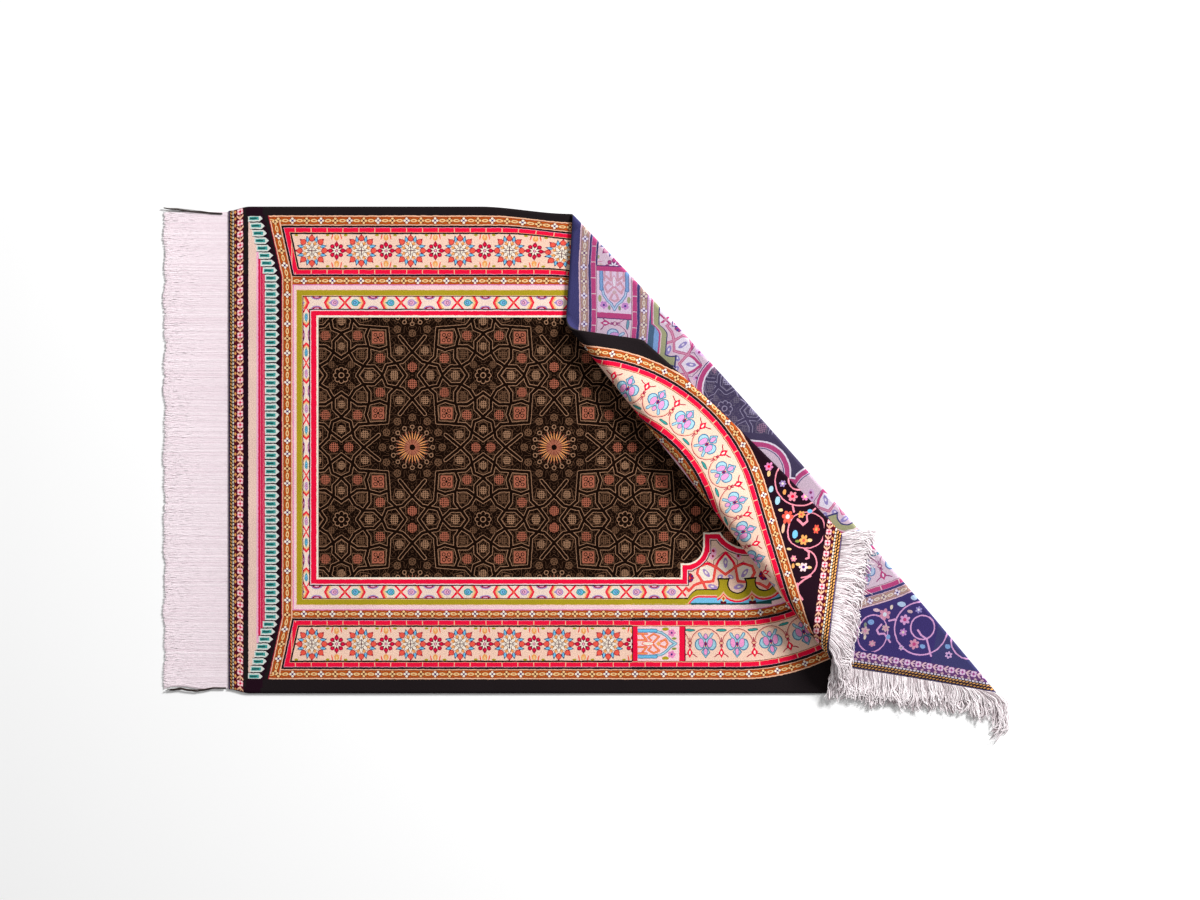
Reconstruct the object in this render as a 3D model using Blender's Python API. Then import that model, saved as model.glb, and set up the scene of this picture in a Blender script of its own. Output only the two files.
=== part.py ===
"""Prayer rug that lies on the floor with one end folded back on itself.

The rug is one woven sheet, 0.70 m wide and 1.10 m long, with a fringe along each end.
World X runs along the rug, Y across it and Z up.  The near end is at -X and the far end
at +X, the front side is at -Y and the back side at +Y.  The origin is on the underside,
at the middle of the unfolded sheet.  All sizes are metres.

The far end's back corner is folded over slantwise so that the underside shows (back
fold), the flap is turned face up again in a loose roll (return fold), and its loose
corner is turned under (tuck fold), with the tip turned up inside the roll.
"""
import math
from dataclasses import dataclass
from typing import NamedTuple

import bmesh
import bpy
import numpy as np

# The woven sheet.
RUG_LENGTH = 1.103
RUG_WIDTH = 0.700
RUG_THICKNESS = 0.003
CORNER_DRAW_IN = 0.006       # the sides come in by this much at the near end
CORNER_DRAW_LENGTH = 0.030   # over this much of the rug's length

# How the folded layers lie on each other.
TUCK_PITCH = RUG_THICKNESS + 0.0007   # from a layer's middle to the next one's
TIP_SETTLE_LENGTH = 0.050    # over which the corner's tip sinks to mid-pocket
PULL_BACK = 0.0144           # cloth dragged along the back fold, at its back end
PULL_FRONT = 0.0030          # the same at its front end
PULL_WIDTH = 0.085           # the strip beside the fold that is dragged

# How finely the faceted sheet is divided.
CELL = 0.045
FOLD_STEPS = 8
SLOPE_STEPS = 6              # rows on the layer that slopes down from the roll
LEVEL_TOLERANCE = 0.15       # of the step between two cut lines
LEVEL_PASSES = 3             # to find where an edge meets a cut line
ROLL_RUN_ON = 0.2            # of a fold's length, past its ends
SHARP_ANGLE = math.radians(40)

# The fringes.
FRINGE_THICKNESS = 0.0016
FRINGE_GAP = 0.0003          # from the flat end
FOLDED_FRINGE_GAP = 0.0011   # from the folded end, where the edge twists
FRINGE_CLEARANCE = 0.0006    # above the layer that the fringe lies on
TUFT_PITCH = 0.0100
SLOT_SHARE = 0.22            # of the pitch, open between two tufts
HEADING_SHARE = 0.20         # of the length, where the tufts are joined
FRINGE_ROWS = 4
BEND_PARTS = 8               # straight parts of a curved tuft

# Spans along an end edge, measured from the rug's front side.
LEFT_FRINGE_SPAN = (0.0010, 0.6990)
LOWER_FRINGE_SPAN = (0.0160, 0.2560)    # below the roll
UPPER_FRINGE_SPAN = (0.2760, 0.4460)    # above the roll, as far as the tuck fold
TUCKED_FRINGE_SPAN = (0.4580, 0.6990)

# The near fringe lies straight, its tips a little uneven.
LEFT_FRINGE_LENGTH = 0.093
TIP_WAVE = 0.0020
TIP_WAVE_LENGTHS = (0.153, 0.065)
SWAY = 0.0012                # of the tips, along the edge
SWAY_LENGTH = 0.190
CORNER_SWAY = 0.0040         # of the front tuft, in an S
CORNER_SWAY_SPAN = 0.020

# The far fringe falls over the edges of the flat layer.
TUCKED_FRINGE_LENGTH = 0.036
OVERHANG = 0.00275           # past the flat layer's edge before a tuft falls
FALL_LENGTH = 0.0110


@dataclass(frozen=True)
class Fold:
    """A rolled fold: the outline of the roll seen from above, and its radius.

    start, end: the back and front ends of the outline on the floor plan.
    bulge: how far the outline bows towards +X +Y.
    beyond: +1 if the sheet that turns over lies on that side of the outline, else -1.
    radius_start, radius_end: radius of the sheet's middle surface along the fold.
    """

    start: tuple[float, float]
    end: tuple[float, float]
    bulge: float
    beyond: int
    radius_start: float
    radius_end: float

    @property
    def chord(self):
        """Straight length from start to end."""
        return math.dist(self.start, self.end)

    @property
    def bow_radius(self):
        """Radius of the outline's slight bow."""
        return (self.chord ** 2 / 4 + self.bulge ** 2) / (2 * self.bulge)

    @property
    def centre(self):
        """Centre of the bow on the floor plan."""
        dx = (self.end[0] - self.start[0]) / self.chord
        dy = (self.end[1] - self.start[1]) / self.chord
        inward = self.bulge - self.bow_radius
        mid_x = (self.start[0] + self.end[0]) / 2
        mid_y = (self.start[1] + self.end[1]) / 2
        return mid_x - dy * inward, mid_y + dx * inward

    def angle(self, point):
        """Direction of a point from the centre."""
        cx, cy = self.centre
        return math.atan2(point[1] - cy, point[0] - cx)

    def along(self, point):
        """Share of the way from start to end."""
        first = self.angle(self.start)
        return (self.angle(point) - first) / (self.angle(self.end) - first)

    def radius(self, point):
        """Radius of the roll beside a point."""
        share = min(max(self.along(point), -ROLL_RUN_ON), 1 + ROLL_RUN_ON)
        return self.radius_start + share * (self.radius_end - self.radius_start)

    def past_axis(self, point):
        """Distance past the line where the sheet starts to turn over."""
        past_outline = math.dist(point, self.centre) - self.bow_radius
        return self.beyond * past_outline + self.radius(point)

    def at(self, point, past_axis):
        """The point beside the given one that lies this far past the axis."""
        distance = self.bow_radius + self.beyond * (past_axis - self.radius(point))
        angle = self.angle(point)
        cx, cy = self.centre
        return cx + distance * math.cos(angle), cy + distance * math.sin(angle)

    def turned(self, point, inset=0.0):
        """How much of the half turn is done, less than 0 before and more than 1 after."""
        return self.past_axis(point) / (math.pi * (self.radius(point) - inset))

    def mirror(self, point, inset=0.0):
        """Floor-plan place of a point that has been turned over completely."""
        arc = math.pi * (self.radius(point) - inset)
        return self.at(point, arc - self.past_axis(point))

    def bend(self, point, inset=0.0):
        """Floor-plan place on the roll, and height above the layer it starts from."""
        if self.past_axis(point) <= 0:
            return point, 0.0
        radius = self.radius(point) - inset
        turn = math.pi * min(max(self.turned(point, inset), 0.0), 1.0)
        return self.at(point, radius * math.sin(turn)), radius * (1 - math.cos(turn))


BACK_FOLD = Fold((-0.0533, 0.3341), (0.5486, -0.3456), 0.0079, 1, 0.0026, 0.0026)
RETURN_FOLD = Fold((-0.0567, 0.1717), (0.3103, -0.2935), 0.0006, -1, 0.0105, 0.0175)
TUCK_FOLD = Fold((0.0547, 0.1476), (0.3254, -0.1166), 0.0043, 1, 0.0030, 0.0030)

# Heights of the sheet's middle surface where the layers lie flat.
FLAP_HEIGHT = RUG_THICKNESS / 2 + 2 * BACK_FOLD.radius_start
UPPER_LOW = TUCK_PITCH + 2 * TUCK_FOLD.radius_start   # above the flap


class Tuft(NamedTuple):
    """One tuft of the far fringe, at a distance from the rug's front side."""

    distance: float
    length: float
    root_angle: float        # degrees on the floor plan, as the tuft leaves the edge
    tip_angle: float         # degrees on the floor plan, where it ends
    tip_height: float        # above the floor


FAR_TUFTS = (
    Tuft(0.016, 0.088, -2, -152, 0.0013),
    Tuft(0.024, 0.072, -10, -130, 0.0013),
    Tuft(0.038, 0.045, -35, -105, 0.0013),
    Tuft(0.065, 0.032, -65, -100, 0.0013),
    Tuft(0.109, 0.036, -80, -95, 0.0013),
    Tuft(0.186, 0.048, -92, -92, 0.0013),
    Tuft(0.229, 0.042, -96, -88, 0.0018),
    Tuft(0.243, 0.046, -90, -88, 0.0040),
    Tuft(0.258, 0.052, -80, -96, 0.0075),
    Tuft(0.271, 0.058, -66, -98, 0.0110),
    Tuft(0.285, 0.064, -50, -100, 0.0135),
    Tuft(0.298, 0.062, -34, -98, 0.0145),
    Tuft(0.314, 0.056, -20, -92, 0.0140),
    Tuft(0.357, 0.044, -8, -60, 0.0105),
    Tuft(0.386, 0.044, -2, -35, 0.0105),
    Tuft(0.415, 0.046, 5, -20, 0.0105),
    Tuft(0.447, 0.044, 16, -20, 0.0105),
)


def smooth(share):
    """Smooth step from 0 to 1."""
    share = min(max(share, 0.0), 1.0)
    return share * share * (3 - 2 * share)


def flat_place(u, v):
    """Floor-plan place of a point of the unfolded sheet, with its small distortions."""
    draw = smooth(1 - (u + RUG_LENGTH / 2) / CORNER_DRAW_LENGTH)
    point = (u, v * (1 - draw * CORNER_DRAW_IN / (RUG_WIDTH / 2)))
    pull = PULL_BACK + (PULL_FRONT - PULL_BACK) * smooth(BACK_FOLD.along(point))
    pull *= smooth(1 + BACK_FOLD.past_axis(point) / PULL_WIDTH)
    cx, cy = BACK_FOLD.centre
    angle = BACK_FOLD.angle(point) - pull / BACK_FOLD.bow_radius
    distance = math.dist(point, BACK_FOLD.centre)
    return cx + distance * math.cos(angle), cy + distance * math.sin(angle)


def roll_share(point):
    """1 at the return fold's axis, 0 at the tuck fold's."""
    from_roll = max(-RETURN_FOLD.past_axis(point), 0.0)
    from_tuck = max(-TUCK_FOLD.past_axis(point), 0.0)
    return from_tuck / max(from_tuck + from_roll, 1e-6)


def upper_height(point):
    """Height of the returned layer, which sinks from the roll down to the tuck fold."""
    high = 2 * RETURN_FOLD.radius(point)
    return FLAP_HEIGHT + UPPER_LOW + (high - UPPER_LOW) * smooth(roll_share(point))


def tip_height(point):
    """Height of the tucked corner's tip, which sinks from the roll to mid-pocket."""
    upper = upper_height(point)
    middle = (upper + FLAP_HEIGHT + TUCK_PITCH) / 2
    sunk = smooth(-RETURN_FOLD.past_axis(point) / TIP_SETTLE_LENGTH)
    return upper - TUCK_PITCH + (middle - upper + TUCK_PITCH) * sunk


def settled(u, v):
    """World place of the middle surface of the folded rug at a point of the sheet."""
    point = flat_place(u, v)
    if BACK_FOLD.turned(point) < 1:
        plan, rise = BACK_FOLD.bend(point)
        return (*plan, RUG_THICKNESS / 2 + rise)
    point = BACK_FOLD.mirror(point)
    if RETURN_FOLD.turned(point) < 1:
        plan, rise = RETURN_FOLD.bend(point)
        return (*plan, FLAP_HEIGHT + rise)
    point = RETURN_FOLD.mirror(point)
    if TUCK_FOLD.turned(point) < 1:
        plan, rise = TUCK_FOLD.bend(point)
        return (*plan, upper_height(plan) - rise)
    point = TUCK_FOLD.mirror(point)
    if RETURN_FOLD.turned(point, TUCK_PITCH) < 1:
        plan, rise = RETURN_FOLD.bend(point, TUCK_PITCH)
        return (*plan, FLAP_HEIGHT + TUCK_PITCH + rise)
    plan = RETURN_FOLD.mirror(point, TUCK_PITCH)
    return (*plan, tip_height(plan))


def back_turn(point):
    """Turn done round the back fold at a point of the unfolded sheet."""
    return BACK_FOLD.turned(flat_place(*point))


def return_turn(point):
    """The same round the return fold."""
    return RETURN_FOLD.turned(BACK_FOLD.mirror(flat_place(*point)))


def tuck_turn(point):
    """The same round the tuck fold."""
    return TUCK_FOLD.turned(RETURN_FOLD.mirror(BACK_FOLD.mirror(flat_place(*point))))


def tip_turn(point):
    """The same round the inside of the roll, where the tucked corner turns up."""
    tucked = TUCK_FOLD.mirror(RETURN_FOLD.mirror(BACK_FOLD.mirror(flat_place(*point))))
    return RETURN_FOLD.turned(tucked, TUCK_PITCH)


def upper_share(point):
    """Place of a point of the unfolded sheet on the returned layer's slope."""
    return roll_share(RETURN_FOLD.mirror(BACK_FOLD.mirror(flat_place(*point))))


def tip_share(point):
    """The same on the slope of the tucked tip."""
    tucked = TUCK_FOLD.mirror(RETURN_FOLD.mirror(BACK_FOLD.mirror(flat_place(*point))))
    return roll_share(RETURN_FOLD.mirror(tucked, TUCK_PITCH))


def cut_along(mesh, turn, level, step):
    """Adds a row of edges to the flat mesh where turn(point) equals level."""
    near = LEVEL_TOLERANCE * step
    value = {vert: turn(vert.co.xy) - level for vert in mesh.verts}
    on_line = {vert for vert, gap in value.items() if abs(gap) < near}
    for edge in list(mesh.edges):
        first, second = edge.verts
        if first in on_line or second in on_line:
            continue
        if value[first] * value[second] < 0:
            share = value[first] / (value[first] - value[second])
            slope = value[second] - value[first]
            for _ in range(LEVEL_PASSES):
                middle = first.co.lerp(second.co, share)
                share -= (turn(middle.xy) - level) / slope
            _, vert = bmesh.utils.edge_split(edge, first, share)
            on_line.add(vert)
    for face in list(mesh.faces):
        found = [vert for vert in face.verts if vert in on_line]
        if len(found) == 2 and not mesh.edges.get(found):
            bmesh.utils.face_split(face, *found)


def flat_sheet():
    """The unfolded sheet as triangles, divided across every fold."""
    mesh = bmesh.new()
    columns = round(RUG_LENGTH / CELL)
    rows = round(RUG_WIDTH / CELL)
    grid = [
        [
            mesh.verts.new(
                (
                    RUG_LENGTH * (column / columns - 0.5),
                    RUG_WIDTH * (row / rows - 0.5),
                    0,
                )
            )
            for row in range(rows + 1)
        ]
        for column in range(columns + 1)
    ]
    for left, right in zip(grid, grid[1:]):
        for row in range(rows):
            mesh.faces.new((left[row], right[row], right[row + 1], left[row + 1]))
    step = 1 / FOLD_STEPS
    for turn in (back_turn, return_turn, tuck_turn, tip_turn):
        for count in range(FOLD_STEPS + 1):
            cut_along(mesh, turn, count * step, step)
    for share in (upper_share, tip_share):
        for count in range(1, SLOPE_STEPS):
            cut_along(mesh, share, count / SLOPE_STEPS, 1 / SLOPE_STEPS)
    bmesh.ops.triangulate(mesh, faces=mesh.faces[:])
    mesh.verts.index_update()
    points = [tuple(vert.co.xy) for vert in mesh.verts]
    faces = [tuple(vert.index for vert in face.verts) for face in mesh.faces]
    mesh.free()
    return points, faces


def thickened(points, faces, thickness):
    """Closed mesh of even thickness on both sides of a middle surface."""
    points = np.array(points)
    normals = np.zeros_like(points)
    for face in faces:
        corners = points[list(face)]
        across = corners[1:] - corners[0]
        normal = np.cross(across[:-1], across[1:]).sum(axis=0)
        normal /= np.linalg.norm(normal)
        for index, corner in enumerate(face):
            before = points[face[index - 1]] - points[corner]
            after = points[face[(index + 1) % len(face)]] - points[corner]
            cosine = before @ after / (np.linalg.norm(before) * np.linalg.norm(after))
            normals[corner] += normal * math.acos(min(max(cosine, -1.0), 1.0))
    normals /= np.linalg.norm(normals, axis=1)[:, None]
    count = len(points)
    both = np.vstack((points + normals * thickness / 2, points - normals * thickness / 2))
    below = [tuple(index + count for index in reversed(face)) for face in faces]
    edges = {}
    for face in faces:
        for first, second in zip(face, face[1:] + face[:1]):
            edges[first, second] = True
    rim = [
        (second, first, first + count, second + count)
        for first, second in edges
        if (second, first) not in edges
    ]
    return both.tolist(), [*faces, *below, *rim]


def material(name, colour, roughness):
    """Plain Principled material."""
    made = bpy.data.materials.new(name)
    made.use_nodes = True
    shader = made.node_tree.nodes["Principled BSDF"]
    shader.inputs["Base Color"].default_value = (*colour, 1)
    shader.inputs["Roughness"].default_value = roughness
    shader.inputs["Metallic"].default_value = 0.0
    made.diffuse_color = (*colour, 1)
    return made


def add_object(name, points, faces, finish):
    """Mesh object in world place."""
    mesh = bpy.data.meshes.new(name)
    mesh.from_pydata(points, [], faces)
    mesh.materials.append(finish)
    mesh.shade_smooth()
    mesh.set_sharp_from_angle(angle=SHARP_ANGLE)
    made = bpy.data.objects.new(name, mesh)
    bpy.context.scene.collection.objects.link(made)


def comb(spread, span):
    """Middle surface of a fringe: a joined heading along the edge and separate tufts.

    spread(distance, share) gives the world place at a distance along the rug's end and
    a share of the way from the edge to the tips.
    """
    tufts = round((span[1] - span[0]) / TUFT_PITCH)
    pitch = (span[1] - span[0]) / tufts
    points, faces, heads = [], [], []
    shares = [
        HEADING_SHARE + (1 - HEADING_SHARE) * row / (FRINGE_ROWS - 1)
        for row in range(FRINGE_ROWS)
    ]
    for tuft in range(tufts):
        for side in (SLOT_SHARE / 2, 1 - SLOT_SHARE / 2):
            distance = span[0] + pitch * (tuft + side)
            heads.append(len(points))
            points.append(spread(distance, 0.0))
            points.extend(spread(distance, share) for share in shares)
    for first, second in zip(heads, heads[1:]):
        faces.append((first, first + 1, second + 1, second))
    for first, second in zip(heads[::2], heads[1::2]):
        for row in range(1, FRINGE_ROWS):
            low, high = first + row, second + row
            faces.append((low, low + 1, high + 1, high))
    return points, faces


def wave(distance, length):
    """Even wave of the given length along an edge, from -1 to 1."""
    return math.sin(2 * math.pi * distance / length)


def left_spread(distance, share):
    """The near fringe lies straight out from the edge, its tips a little uneven."""
    root_y = flat_place(-RUG_LENGTH / 2, distance - RUG_WIDTH / 2)[1]
    long_wave, short_wave = TIP_WAVE_LENGTHS
    uneven = TIP_WAVE * wave(distance, long_wave) * wave(distance, short_wave)
    corner = smooth(1 - distance / CORNER_SWAY_SPAN)
    sway = SWAY * wave(distance, SWAY_LENGTH) - CORNER_SWAY * corner * wave(share, 1.0)
    x = -RUG_LENGTH / 2 - FRINGE_GAP - (LEFT_FRINGE_LENGTH + uneven) * share
    return x, root_y + sway * share, FRINGE_THICKNESS / 2


def tuft_at(distance):
    """The far fringe's sizes at any distance, between the rows of its table."""
    stations = [row.distance for row in FAR_TUFTS]
    columns = zip(*FAR_TUFTS)
    return Tuft(*(float(np.interp(distance, stations, column)) for column in columns))


def over_flat_layer(x, y):
    """1 above the flat layer and just past its edges, 0 a little farther out."""
    past_edge = max(-RUG_WIDTH / 2 - y, x - RUG_LENGTH / 2)
    return smooth(1 - (past_edge - OVERHANG) / FALL_LENGTH)


def far_spread(distance, share):
    """The far fringe falls from the folded end on to the layers below and the floor."""
    tuft = tuft_at(distance)
    x, y, z = settled(RUG_LENGTH / 2 + FOLDED_FRINGE_GAP, distance - RUG_WIDTH / 2)
    stretch = tuft.length * share / BEND_PARTS
    for part in range(BEND_PARTS):
        turn = share * (part + 0.5) / BEND_PARTS
        angle = math.radians(tuft.root_angle + (tuft.tip_angle - tuft.root_angle) * turn)
        x += stretch * math.cos(angle)
        y += stretch * math.sin(angle)
    fallen = z + (tuft.tip_height - z) * smooth(share)
    carried = over_flat_layer(x, y) * smooth((z - RUG_THICKNESS) / RUG_THICKNESS)
    lowest = FRINGE_THICKNESS / 2 + (RUG_THICKNESS + FRINGE_CLEARANCE) * carried
    return x, y, max(fallen, lowest)


def tucked_spread(distance, share):
    """The fringe of the tucked corner goes on from the hidden edge."""
    u = RUG_LENGTH / 2 + FOLDED_FRINGE_GAP + TUCKED_FRINGE_LENGTH * share
    return settled(u, distance - RUG_WIDTH / 2)


def build_rug_body(finish):
    """The woven sheet in its folds, one solid."""
    points, faces = flat_sheet()
    middle = [settled(*point) for point in points]
    add_object("rug_body", *thickened(middle, faces, RUG_THICKNESS), finish)


def build_fringe(name, spread, span, finish):
    """One comb of tufts along a stretch of an end edge."""
    points, faces = comb(spread, span)
    add_object(name, *thickened(points, faces, FRINGE_THICKNESS), finish)


def main():
    """Clears the scene and builds every piece."""
    for old in list(bpy.data.objects):
        bpy.data.objects.remove(old, do_unlink=True)
    weave = material("woven_pile", (0.060, 0.028, 0.022), 0.90)
    yarn = material("fringe_yarn", (0.80, 0.74, 0.77), 0.85)
    build_rug_body(weave)
    build_fringe("fringe_left", left_spread, LEFT_FRINGE_SPAN, yarn)
    build_fringe("fringe_right_lower", far_spread, LOWER_FRINGE_SPAN, yarn)
    build_fringe("fringe_right_upper", far_spread, UPPER_FRINGE_SPAN, yarn)
    build_fringe("fringe_tucked", tucked_spread, TUCKED_FRINGE_SPAN, yarn)


if __name__ == "__main__":
    main()
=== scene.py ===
"""Looks of a prayer rug that lies with one end folded back over itself.

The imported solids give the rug's folds and fringes.  This script lays a fine sheet over
the same folds, spreads the yarns of both fringes, and draws the woven pattern on the
rug plane: the unfolded sheet, x along its length and y across it, from its middle.
Shapes are in metres, and the pattern's sizes are in millimetres of the real weave.
"""
from __future__ import annotations

import logging
import math
from dataclasses import dataclass
from enum import Enum
from functools import cached_property, reduce
from typing import Callable, Iterable, Sequence

import bpy
import numpy as np
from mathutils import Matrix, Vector
from mathutils.geometry import delaunay_2d_cdt


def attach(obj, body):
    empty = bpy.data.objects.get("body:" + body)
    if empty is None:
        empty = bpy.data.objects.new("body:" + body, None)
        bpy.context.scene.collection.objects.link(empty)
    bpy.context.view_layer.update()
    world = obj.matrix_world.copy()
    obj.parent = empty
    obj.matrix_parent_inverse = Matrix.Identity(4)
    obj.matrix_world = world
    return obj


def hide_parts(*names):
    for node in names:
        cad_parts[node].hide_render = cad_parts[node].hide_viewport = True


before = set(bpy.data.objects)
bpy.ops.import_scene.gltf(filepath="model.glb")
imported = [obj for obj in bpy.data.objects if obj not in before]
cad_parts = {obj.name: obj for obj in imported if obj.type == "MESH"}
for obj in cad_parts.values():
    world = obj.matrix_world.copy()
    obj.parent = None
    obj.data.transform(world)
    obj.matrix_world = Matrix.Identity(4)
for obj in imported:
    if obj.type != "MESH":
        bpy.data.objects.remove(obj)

LOG = logging.getLogger("prayer_rug")
Array = np.ndarray
Colour = tuple[float, float, float, float]
MM = 0.001
PATTERN_AXIS = 3.8  # mm from the sheet's middle to the line the pattern mirrors on
EASE = 24.0  # mm that the folded half's pattern is dragged along the rug
SQUEEZE = 7.0  # mm that it is drawn in across the rug past the small panel


def smooth(share: Array) -> Array:
    """Smooth step of each share from 0 to 1."""
    share = np.clip(share, 0.0, 1.0)
    return share * share * (3 - 2 * share)


def linear(code: str) -> Colour:
    """Turns an sRGB hex colour to linear light.

    Args:
        code: Six hex digits.

    Returns:
        Linear red, green and blue, and an alpha of 1.
    """
    shares = [int(code[start : start + 2], 16) / 255 for start in (0, 2, 4)]
    red, green, blue = (
        share / 12.92 if share <= 0.04045 else ((share + 0.055) / 1.055) ** 2.4
        for share in shares
    )
    return red, green, blue, 1.0


# --------------------------------------------------
# Numbers and places that vary over the weave, as nodes
# --------------------------------------------------


class Graph:
    """A material's node tree, and the one function that adds a node to it."""

    def __init__(self, tree: bpy.types.NodeTree) -> None:
        """Takes an empty node tree."""
        self.tree = tree

    def add(self, kind: str, *values: object, **settings: object) -> bpy.types.Node:
        """Adds a node with its settings and links.

        Args:
            kind: Blender's name for the node.
            values: What goes into its first sockets, in order: a Flow is linked, a
                node stands for its first output, None is left alone, and anything else
                is set on the socket itself.
            settings: The node's own settings, and under "sockets" a dictionary of
                values for sockets by name.

        Returns:
            The node.
        """
        node = self.tree.nodes.new(kind)
        named = settings.pop("sockets", {})
        for name, setting in settings.items():
            setattr(node, name, setting)
        for key, value in (*enumerate(values), *named.items()):
            if isinstance(value, bpy.types.Node):
                value = Flow(self, value.outputs[0])
            if isinstance(value, Flow):
                self.tree.links.new(value.socket, node.inputs[key])
            elif value is not None:
                node.inputs[key].default_value = value
        return node


@dataclass(frozen=True)
class Flow:
    """What comes out of a node."""

    graph: Graph
    socket: bpy.types.NodeSocket


class Number(Flow):
    """A number that varies over the weave.  A mask is one that is 0 or 1."""

    def compute(self, operation: str, *others: float | Number, **settings: object) -> Number:
        """The number after an operation of arithmetic."""
        node = self.graph.add("ShaderNodeMath", self, *others, operation=operation, **settings)
        return Number(self.graph, node.outputs[0])

    def __add__(self, other: float | Number) -> Number:
        """Sum."""
        return self.compute("ADD", other)

    def __sub__(self, other: float | Number) -> Number:
        """Difference."""
        return self.compute("SUBTRACT", other)

    def __mul__(self, other: float | Number) -> Number:
        """Product."""
        return self.compute("MULTIPLY", other)

    def __neg__(self) -> Number:
        """The number with its sign turned."""
        return self.compute("MULTIPLY", -1.0)

    def __and__(self, other: Number) -> Number:
        """Mask of what is in both masks."""
        return self.compute("MULTIPLY", other)

    def __or__(self, other: Number) -> Number:
        """Mask of what is in either mask."""
        return self.compute("MAXIMUM", other)

    def __lt__(self, other: float | Number) -> Number:
        """Mask of where the number is lower."""
        return self.compute("LESS_THAN", other)

    def __gt__(self, other: float | Number) -> Number:
        """Mask of where the number is higher."""
        return self.compute("GREATER_THAN", other)

    def past(self, start: float) -> Number:
        """Mask of where the number is higher, for Paint.nest()."""
        return self > start

    def within(self, end: float) -> Number:
        """Mask of where the number is lower, for Paint.nest()."""
        return self < end

    @staticmethod
    def lowest(numbers: Iterable[Number]) -> Number:
        """The lowest of some numbers."""
        return reduce(lambda low, other: low.compute("MINIMUM", other), numbers)

    def size(self) -> Number:
        """The number without its sign."""
        return self.compute("ABSOLUTE")

    def near(self, middle: float | Number, half: float) -> Number:
        """Mask of a stripe: where the number is within half of the middle."""
        return self.compute("COMPARE", middle, half)

    def over(self, start: float) -> Number:
        """How far the number is past the start, or 0."""
        return (self - start).compute("MAXIMUM", 0.0)

    def ramp(self, start: float, end: float) -> Number:
        """0 up to the start, then rising evenly to 1 at the end."""
        return (self - start).compute("MULTIPLY", 1 / (end - start), use_clamp=True)

    def unless(self, mask: Number, other: Number) -> Number:
        """The number, but the other one in the mask."""
        sockets = {2: self, 3: other}
        node = self.graph.add("ShaderNodeMix", mask, data_type="FLOAT", sockets=sockets)
        return Number(self.graph, node.outputs[0])

    def cycle(self, pitch: float, phase: float = 0.0) -> Number:
        """The number from the nearest of evenly spaced marks, one of them at phase."""
        return (self - phase).compute("WRAP", pitch / 2, -pitch / 2)


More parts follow.
